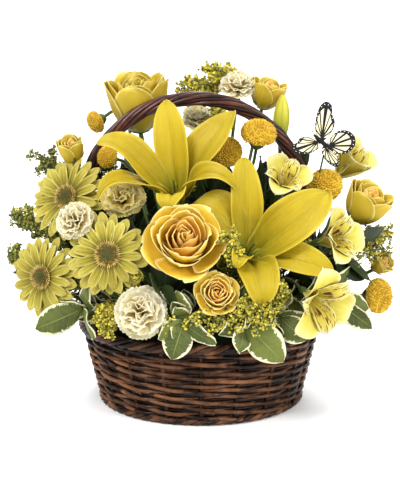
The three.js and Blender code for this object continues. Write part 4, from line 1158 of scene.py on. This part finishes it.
# ---- Goldenrod ----
# Eight sprays of goldenrod. Thin arching twigs grow out of each stem, and each carries tufts of
# tiny yellow florets in green cups along its upper side, with a few narrow leaves.
GOLD_FLORET = floret_finish("goldenrod_florets", (0.20, 0.19, 0.02), (0.72, 0.60, 0.06))
GREEN_FLORET = floret_finish("goldenrod_green_buds", (0.035, 0.055, 0.012), (0.28, 0.28, 0.05))
NARROW_STOPS = [(0.0, (0.035, 0.08, 0.014)), (1.0, (0.075, 0.14, 0.028))]
LEAF_GREEN = petal_finish(
    "narrow_leaf", NARROW_STOPS, (0.10, 0.18, 0.05), ribs=12, depth=0.0004, rough=0.4
)
# Each spray: its tip, a place it passes, reach of its twigs, seed, twigs, share of yellow florets,
# and the places that its longer twigs reach.
GOLDENRODS = {
    "goldenrod_top": ((16, 44, 326), (6, 34, 230), 28, 3, 5, 0.85, [
        (-23, 36, 313), (-15, 40, 321), (-8, 32, 312), (6, 42, 333), (18, 38, 332), (30, 44, 333),
        (36, 36, 326), (2, 34, 318), (12, 30, 324), (-12, 32, 290), (4, 26, 281), (18, 24, 286),
        (31, 24, 277), (-2, 30, 288), (24, 30, 282),
    ]),
    "goldenrod_left_high": ((-150, 16, 232), (-110, 20, 190), 22, 5, 5, 0.1, [
        (-172, 10, 245), (-160, 10, 236), (-150, 8, 250), (-166, 14, 228), (-132, -4, 232),
        (-105, 2, 232), (-97, 4, 237), (-88, 6, 236),
    ]),
    "goldenrod_left_middle": ((-172, -24, 184), (-120, -22, 150), 22, 7, 5, 0.15, [
        (-183, -24, 190), (-178, -20, 180), (-168, -22, 194), (-184, -28, 182),
    ]),
    "goldenrod_left_low": ((-178, -34, 146), (-120, -30, 120), 20, 9, 5, 0.1, [
        (-187, -34, 153), (-186, -34, 145), (-180, -34, 158), (-112, -56, 112), (-120, -60, 104),
    ]),
    "goldenrod_right": ((172, -16, 168), (115, -22, 140), 28, 13, 5, 0.65, [
        (146, -40, 166), (155, -36, 171), (166, -30, 174), (178, -26, 171), (187, -20, 162),
        (154, -44, 152), (170, -36, 144), (184, -30, 150), (150, -44, 138), (164, -40, 158),
    ]),
    "goldenrod_centre": ((28, -102, 176), (22, -62, 140), 20, 15, 4, 0.9, [
        (20, -112, 177), (28, -116, 168), (34, -114, 160), (24, -114, 158), (30, -112, 150),
    ]),
    "goldenrod_front_left": ((-84, -106, 104), (-58, -66, 106), 22, 17, 4, 0.9, [
        (-94, -112, 100), (-87, -116, 91), (-78, -118, 104), (-82, -118, 88), (-90, -106, 110),
        (-64, -100, 132), (-56, -104, 140), (-30, -126, 94), (-28, -126, 104),
    ]),
    "goldenrod_front": ((66, -108, 132), (42, -64, 118), 24, 19, 5, 0.9, [
        (-13, -130, 101), (-5, -132, 105), (3, -132, 96), (12, -132, 99), (23, -131, 97),
        (34, -131, 118), (30, -132, 108), (40, -132, 108), (50, -131, 102), (60, -134, 102),
        (48, -136, 95), (34, -134, 97), (72, -122, 116), (77, -116, 128), (66, -120, 110),
    ]),
}


def seeded(seed):
    """The same run of numbers that places the twigs and leaves of the frame."""
    state = seed
    while True:
        state = (state * 1664525 + 1013904223) % 4294967296
        yield state / 4294967296


def spray_stem(name, tip, via):
    return [*stem_foot(name), np.array(via), np.array(tip)]


def along(points, share):
    """The place and direction at a share of a stem that is drawn in four straight lengths."""
    line = smooth_line(points, 5)
    length = min(3, int(share * 4))
    ahead = line[length + 1] - line[length]
    return line[length] + ahead * (share * 4 - length), unit(ahead)


def inside_frame(place):
    """Whether a place lies within the box of the frame, with room for a floret."""
    low, high = cad_box
    return all(a / MM + 2 < p < b / MM - 2 for a, p, b in zip(low, place, high))


# How many twigs and leaves a stem has, and how many florets a twig carries.
TWIGS_BESIDE, LOW_TWIGS, NARROW_LEAVES = 3, 7, 12
TUFTS, SHOOTS, SHOOT_FLORETS = 9, 4, 4
narrow_sheet = sheet(4, 8)
for name, (tip, via, reach, seed, twigs, yellow, targets) in GOLDENRODS.items():
    draw = seeded(seed)
    route = spray_stem(name, tip, via)
    twig_list = []
    for k in range(twigs):
        root, ahead = along(route, 0.99 - 0.4 * k / twigs)
        angle = k * 2.4 + next(draw)
        aside = np.array([np.cos(angle), np.sin(angle) * 0.7, 0.25 + 0.3 * next(draw)])
        length = reach * (0.65 + 0.45 * next(draw)) * (1 if k else 0.7)
        out = unit(aside + ahead * 0.6) if k else ahead
        twig_list.append((root, out, length))
        for extra in range(TWIGS_BESIDE):
            lean = unit(out + rng.normal(0, 0.5, 3))
            lower = along(route, 0.97 - 0.4 * (k + 0.25 * (extra + 1)) / twigs)[0]
            twig_list.append((lower, lean, length * rng.uniform(0.7, 1.05)))
    for k in range(LOW_TWIGS):
        root, ahead = along(route, 0.36 + 0.05 * k)
        angle = 2.4 * k + seed
        out = unit(np.array([np.cos(angle), np.sin(angle), 0.5]) + ahead * 0.7)
        twig_list.append((root, out, reach * rng.uniform(0.6, 0.9)))
    nodes_on_stem = [along(route, share)[0] for share in np.linspace(0.55, 0.98, 12)]
    for target in targets:
        away = [np.linalg.norm(target - place - (0, 0, 12)) for place in nodes_on_stem]
        root = nodes_on_stem[int(np.argmin(away))]
        reached = np.array(target) - root + (0, 0, 0.18 * np.linalg.norm(target - root))
        twig_list.append((root, unit(reached), np.linalg.norm(reached)))
    lines, spots, tones, greens, leaf_parts = [], [], [], [], []
    for root, out, length in twig_list:
        bend = root + out * length * 0.55
        end = root + out * length + (0, 0, -length * 0.18)
        count = max(8, int(length / 3.5))
        places, ways = bezier([root - out * 0.8, bend, end], np.linspace(0, 1, count))
        lines.append((places, np.linspace(0.7, 0.35, count)))
        for place, way in zip(places[-TUFTS:], ways[-TUFTS:]):
            for shoot_number in range(SHOOTS):
                turn = rng.uniform(0, 2 * np.pi)
                sideways = unit(np.cross(way, (np.cos(turn), np.sin(turn), 0.3)))
                shoot = unit(sideways + (0, 0, 0.5) + way * 0.3)
                span = rng.uniform(2.2, 5.0)
                if not inside_frame(place + shoot * span * 1.5):
                    continue
                lines.append(([place, place + shoot * span], (0.3, 0.25)))
                for floret in range(SHOOT_FLORETS):
                    spot = place + shoot * span * (0.35 + 0.25 * floret) + rng.normal(0, 0.9, 3)
                    lean = unit(shoot + rng.normal(0, 0.5, 3))
                    width = rng.uniform(0.95, 1.75) * (1.25 if name == "goldenrod_top" else 1)
                    spots.append(pointing(spot, lean, width, width * 1.9, turn))
                    tones.append(rng.uniform(0, 1))
                    greens.append(rng.uniform(0, 1) > yellow)
    for k in range(NARROW_LEAVES):
        root, ahead = along(route, 0.4 + 0.034 * k)
        turn = k * 2.4 + seed
        out = unit(np.cross(ahead, (np.cos(turn), np.sin(turn), 0.2)) + ahead)
        made = petal(
            narrow_sheet, [root, root + out * 14 + (0, 0, 3), root + out * 28], (0, 0, 1),
            lambda u: 4.2 * np.sin(np.pi * np.clip(u, 0.03, 0.97)) ** 0.7,
            tone=rng.uniform(0, 1),
        )
        leaf_parts.append(made)
    leaf_part = flesh(leaf_parts, 0.5, LEAF_GREEN)
    twig_part = rods(lines, 4, finish=GREEN_STEM)
    florets = scatter(spots, tones, GOLD_FLORET, GREEN_FLORET)
    greens = np.repeat(greens, len(BUD_FACES)).astype(int)
    florets.data.polygons.foreach_set("material_index", greens)
    stem = stem_of(route, 1.2, 0.6)
    finish_piece([florets, twig_part, leaf_part, stem], name + "_spray", "goldenrod", name)
bpy.data.objects.remove(narrow_sheet)


# ---- Variegated leaves and dark foliage ----
# Sprigs of a leathery shrub with waved green leaves and cream margins hang over the border, and
# glossy dark leaves fill the spaces between the stems and close the back.
def leaf_finish(name, dark, light, vein, margin=None):
    finish = Finish(name, Coat_Weight=0.1, Coat_Roughness=0.35, Specular_IOR_Level=0.3)
    place, _, along_leaf, across = finish.petal_map()
    patch = finish.noise(90.0, 3.0)
    colour = finish.mix((finish.tone() * 0.5 + patch * 0.8 - 0.2).rise(0.1, 0.9), dark, light)
    side_vein = (along_leaf * 9 - across * 1.6).alone("FRACT")
    side_line = 1 - (side_vein - 0.5).alone("ABSOLUTE").rise(0.0, 0.09)
    midrib = 1 - across.rise(0.015, 0.05)
    lines = midrib.calc("MAXIMUM", midrib, side_line * 0.35)
    colour = finish.mix(lines, colour, vein)
    if margin:
        stretched = finish.node("ShaderNodeMapping", {}, {"Vector": place, "Scale": (4, 20, 1)})
        wander, streaks = finish.noise(130.0, 4.0), finish.noise(1.0, 3.0, stretched)
        reach = across + (along_leaf - 0.5) * 0.25 + wander * 0.35 + streaks * 0.6 - 0.5
        colour = finish.mix(reach.rise(0.74, 0.84), colour, margin)
    finish.feed("Base Color", colour)
    finish.feed("Roughness", 0.48 + patch * 0.2)
    finish.bump(lines * -1 + patch * 0.4, 0.0005, 0.8)
    return finish


VARIEGATED = leaf_finish(
    "variegated_leaf",
    (0.045, 0.062, 0.009), (0.15, 0.175, 0.028), (0.20, 0.24, 0.05), (0.74, 0.72, 0.46),
)
DARK_LEAF = leaf_finish(
    "dark_leaf", (0.010, 0.020, 0.004), (0.036, 0.060, 0.010), (0.06, 0.09, 0.02)
)
leaf_sheet = sheet(8, 16)


def leaf(route, share, tip, width, waved, shift):
    """One leaf from its place on the stem to its tip, arched and waved."""
    start = along(route, share)[0]
    end = np.array(tip, float)
    outward = unit((start + end) / 2 - (0, 0, 150))
    bend = (start + end) / 2 + outward * np.linalg.norm(end - start) * 0.16
    return petal(
        leaf_sheet, [start, bend, end], outward,
        lambda u: width * 0.92 * (0.07 + np.sin(np.pi * np.clip(u, 0, 1) ** 0.85) ** 0.75)
        * (1 - 0.9 * np.maximum(0, (u - 0.93) / 0.07)),
        -0.35,
        lambda u, v: waved * (
            v * np.sin(2.2 * np.pi * u + shift) * 0.7
            + v**2 * 0.55 * np.sin(3.4 * np.pi * u + 2 * shift + v)
        ) - 0.7 * np.exp(-((v / 0.1) ** 2)),
        tone=rng.uniform(0, 1), tight=1.15,
    )


def leafy_piece(name, route, parts, finish, slot):
    leaves = flesh(parts, 0.55, finish)
    finish_piece([leaves, stem_of(route, 1.2, 0.7)], name + "_sprig", slot, name)


# Each sprig: its tip, a place it passes, and for each large leaf its place along the stem, its
# tip and its half width.
PITTOSPORUMS = {
    "pittosporum_front_left": ((-16, -125, 103), (-10, -90, 106), [
        (0.99, (-26, -134, 72), 14), (0.99, (13, -134, 86), 9),
        (0.97, (-38, -132, 90), 10), (0.96, (-22, -114, 130), 10),
    ]),
    "pittosporum_front": ((40, -124, 102), (25, -90, 106), [
        (0.99, (73, -131, 69), 17), (0.98, (33, -135, 78), 10),
        (0.96, (15, -131, 94), 9), (0.95, (38, -112, 134), 12),
    ]),
    "pittosporum_front_right": ((72, -112, 104), (45, -80, 106), [
        (0.99, (93, -122, 86), 13), (0.98, (64, -126, 88), 9),
        (0.96, (100, -102, 98), 11), (0.94, (78, -108, 132), 11),
    ]),
    "pittosporum_left": ((-113, -74, 104), (-72, -40, 104), [
        (0.99, (-154, -86, 88), 15), (0.98, (-98, -98, 82), 12),
        (0.96, (-142, -54, 98), 13), (0.94, (-104, -92, 128), 12),
    ]),
    "pittosporum_right": ((126, -66, 112), (85, -42, 110), [
        (0.99, (161, -76, 86), 15), (0.98, (134, -86, 98), 12),
        (0.96, (162, -50, 100), 13), (0.94, (142, -54, 142), 13),
    ]),
}
SMALL_LEAVES = 9
for name, (tip, via, listed) in PITTOSPORUMS.items():
    route = spray_stem(name, tip, via)
    parts = []
    for k, (share, end, width) in enumerate(listed):
        parts.append(leaf(route, share, end, width, 1.9, k))
    for k in range(SMALL_LEAVES):
        share = 0.6 + 0.042 * k
        root, ahead = along(route, share)
        turn = 2.4 * k + len(name)
        out = unit(np.cross(ahead, (np.cos(turn), np.sin(turn), 0.3)) + ahead * 0.8 + (0, 0, 0.4))
        parts.append(leaf(route, share, root + out * rng.uniform(20, 28), 8, 1.1, k))
    leafy_piece(name, route, parts, VARIEGATED, "leaf_variegated")

# Each stem: its tip, a place it passes, leaves, their length and half width, its seed, the tips
# of its low leaves as an angle, a radius and a height, and the tips of single leaves.
FOLIAGE = {
    "foliage_front": (
        (-38, -108, 132), (-26, -62, 116), 4, 44, 17, 41, [(-80, 108, 104), (-128, 112, 100)], [],
    ),
    "foliage_right": (
        (146, -44, 156), (85, -34, 130), 5, 48, 18, 43, [(-28, 128, 96), (22, 134, 92)],
        [(128, -40, 196), (150, -40, 184), (104, -44, 196)],
    ),
    "foliage_left": (
        (-108, 26, 182), (-66, 18, 140), 5, 50, 18, 47,
        [(168, 134, 92), (200, 128, 98), (150, 132, 96)],
        [(-128, -26, 172), (-131, -52, 158), (-130, -34, 130), (-114, -62, 124),
         (-134, 0, 214), (-92, -20, 214), (-104, -30, 196), (-88, 0, 238)],
    ),
    "foliage_upper": (
        (10, 14, 206), (8, 8, 150), 5, 44, 17, 53, [],
        [(4, 14, 254), (22, 12, 244), (-14, 16, 246), (30, 0, 232), (-36, 12, 236)],
    ),
    "foliage_upper_right": (
        (88, 22, 222), (50, 14, 160), 6, 46, 17, 55, [],
        [(46, 10, 240), (60, 14, 244), (98, 22, 244), (40, 4, 236), (76, 10, 246)],
    ),
    "foliage_back_left": (
        (-76, 74, 206), (-50, 44, 140), 7, 56, 20, 59, [(136, 136, 92), (120, 130, 100)],
        [(-84, 50, 236), (-60, 44, 240)],
    ),
    "foliage_back": (
        (-4, 104, 196), (-2, 60, 140), 7, 58, 21, 61,
        [(104, 136, 92), (88, 132, 102), (74, 136, 92)], [],
    ),
    "foliage_back_right": (
        (80, 76, 196), (50, 46, 140), 7, 56, 20, 67, [(58, 134, 96), (42, 136, 90)], [],
    ),
}
# The lowest leaves leave their stem this far above its foot.
SKIRT_START = 47
INNER_LEAVES = 14
for name, (tip, via, count, length, width, seed, skirt, singles) in FOLIAGE.items():
    draw = seeded(seed)
    route = spray_stem(name, tip, via)
    line = smooth_line(route, 300)
    low = SKIRT_START / np.linalg.norm(np.diff(line, axis=0), axis=1).sum()
    parts = []
    for k, (degrees, reach, height) in enumerate(skirt):
        end = radial(math.radians(degrees), reach, height)
        parts.append(leaf(route, low + 0.03 * k, end, width, 1.2, k))
    for k in range(count):
        share = 0.45 + 0.55 * (k + 0.96) / count
        root, ahead = along(route, share)
        angle = k * 2.4 + next(draw) * 0.6
        aside = unit(np.cross((np.cos(angle), np.sin(angle), 0.15), ahead))
        out = unit(aside + ahead * (3 if k == count - 1 else 0.7))
        end = root + out * length * (0.78 + 0.3 * next(draw))
        parts.append(leaf(route, share, end, width, 1.0, k + len(skirt)))
    for k in range(INNER_LEAVES):
        share = 0.36 + 0.044 * k
        root, ahead = along(route, share)
        angle = k * 2.4 + 1.2
        aside = unit(np.cross((np.cos(angle), np.sin(angle), 0.1), ahead))
        end = root + unit(aside + ahead * 0.5) * rng.uniform(28, 40)
        parts.append(leaf(route, share, end, 11, 1.0, k))
    for k, end in enumerate(singles):
        parts.append(leaf(route, 0.66 + 0.04 * k, end, 12, 1.0, k))
    leafy_piece(name, route, parts, DARK_LEAF, "leaf_dark")
bpy.data.objects.remove(leaf_sheet)


# ---- The butterfly ----
# A decorative butterfly of thin coated sheet: black wings with cream cells between the veins and
# white dots in the border, a black body with feelers, glued to a green lacquered wire.
WING_BLACK = speckled(
    "wing_black", 500.0, (0.006, 0.005, 0.006), (0.022, 0.019, 0.020),
    Roughness=0.7, Specular_IOR_Level=0.15,
)
WING_CREAM = speckled("wing_cream", 260.0, (0.76, 0.68, 0.34), (0.88, 0.84, 0.60), Roughness=0.55)
WING_WHITE = speckled("wing_white", 400.0, (0.80, 0.80, 0.78), (0.90, 0.90, 0.88), Roughness=0.6)
# The outlines of the wings, the place of the body, and for each wing its outline, its root, its
# tip, the way it faces and its size.
FOREWING = [(0, -1), (9, -8), (20, -10), (27, -6), (35, -4), (38, 2), (33, 7), (18, 9), (6, 6)]
HINDWING = [(0, -3), (8, -11), (19, -13), (28, -8), (31, 0), (27, 8), (16, 11), (5, 5)]
THORAX = np.array([121.0, -32, 255])
WINGS = [
    (FOREWING, (-6, 0, 5), (1, 4, 42), (0.15, -0.95, 0.25), 1.0),
    (HINDWING, (-1, 0, 1), (28, 4, 8), (0.15, -0.95, 0.25), 0.95),
    (FOREWING, (-7, -1, 4), (-34, -20, -2), (0.5, -0.6, 0.62), 0.95),
    (HINDWING, (-2, -1, 0), (8, -14, -20), (0.5, -0.6, 0.62), 0.8),
]


def plate(outline, low, high, finish):
    """A flat plate with an outline, from one height to another."""
    mesh = bpy.data.meshes.new("plate")
    count = len(outline)
    places = [(x, y, height) for height in (low, high) for x, y in outline]
    walls = [(i, (i + 1) % count, (i + 1) % count + count, i + count) for i in range(count)]
    caps = [tuple(reversed(range(count))), tuple(range(count, 2 * count))]
    mesh.from_pydata(np.array(places) * MM, [], walls + caps)
    made = bpy.data.objects.new("plate", mesh)
    scene.collection.objects.link(made)
    paint(made, finish)
    return made


def rounded(outline):
    """A closed outline made smooth through its points, five steps for each."""
    outline = [(x, y, 0) for x, y in outline]
    line = smooth_line(outline[-2:] + outline + outline[:3], (len(outline) + 4) * 5)
    return [(x, y) for x, y, _ in line[10 : (len(outline) + 2) * 5]]


CELLS_IN_WING = 8
wing_parts = []
for outline, root, tip, facing, size in WINGS:
    edge = np.array(rounded(outline)) * size
    pieces = [plate(edge, 0.12, 0.68, WING_BLACK)]
    hub = edge[np.argmin(edge[:, 0])] * 0.6 + (2.5, 0)
    bounds = np.linspace(0.06, 0.94, CELLS_IN_WING + 1)
    for first, last in zip(bounds, bounds[1:]):
        span = np.linspace(first + 0.012, last - 0.012, 6) * (len(edge) - 1)
        outer = [edge[int(round(s))] for s in span]
        middle = np.mean(outer, axis=0)
        inner = hub + (middle - hub) * 0.16
        ring = [inner] + [hub + (o - hub) * 0.84 for o in outer]
        centre = np.mean(ring, axis=0)
        ring = [centre + (r - centre) * 0.88 for r in ring]
        turns = sum(a[0] * b[1] - b[0] * a[1] for a, b in zip(ring, ring[1:] + ring[:1]))
        pieces.append(plate(ring if turns > 0 else ring[::-1], 0.0, 0.8, WING_CREAM))
        for s in (first * 0.7 + last * 0.3, first * 0.3 + last * 0.7):
            spot = hub + (edge[int(round(s * (len(edge) - 1)))] - hub) * 0.93
            dot = [spot + 0.5 * np.array([np.cos(t), np.sin(t)]) for t in np.arange(6) * np.pi / 3]
            pieces.append(plate(dot, 0.0, 0.8, WING_WHITE))
    wing = join(pieces)
    start = THORAX + root
    ahead = unit(np.array(tip, float) - root)
    across = unit(np.cross(facing, ahead))
    matrix = Matrix(np.column_stack([ahead, across, np.cross(ahead, across)]).tolist()).to_4x4()
    wing.data.transform(Matrix.Translation(Vector(start) * MM) @ matrix)
    wing_parts.append(wing)
start, end = THORAX + (-13, -2, 11), THORAX + (9, 0, -8)
share = np.linspace(0, 1, 14)
line = start + (end - start) * share[:, None]
girth = 0.5 + 1.7 * np.sin(np.pi * (0.1 + 0.85 * share)) ** 0.8
body = rods([(line, girth)], 10, finish=WING_BLACK)
feelers = []
for sideways in (-1, 1):
    reach = start + (-3, -1 + sideways * 1.5, 5 + sideways)
    feelers.append((smooth_line([start, (start + reach) / 2 + (0, 0, 1), reach], 8), 0.3))
feelers = rods(feelers, 6, finish=WING_BLACK)
finish_piece(wing_parts + [body, feelers], "butterfly_ornament", "butterfly", "butterfly")

lacquer = speckled(
    "green_wire", 300.0, (0.03, 0.06, 0.02), (0.07, 0.10, 0.04), Roughness=0.35, Metallic=0.4
)
paint(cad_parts["butterfly_wire"], lacquer)
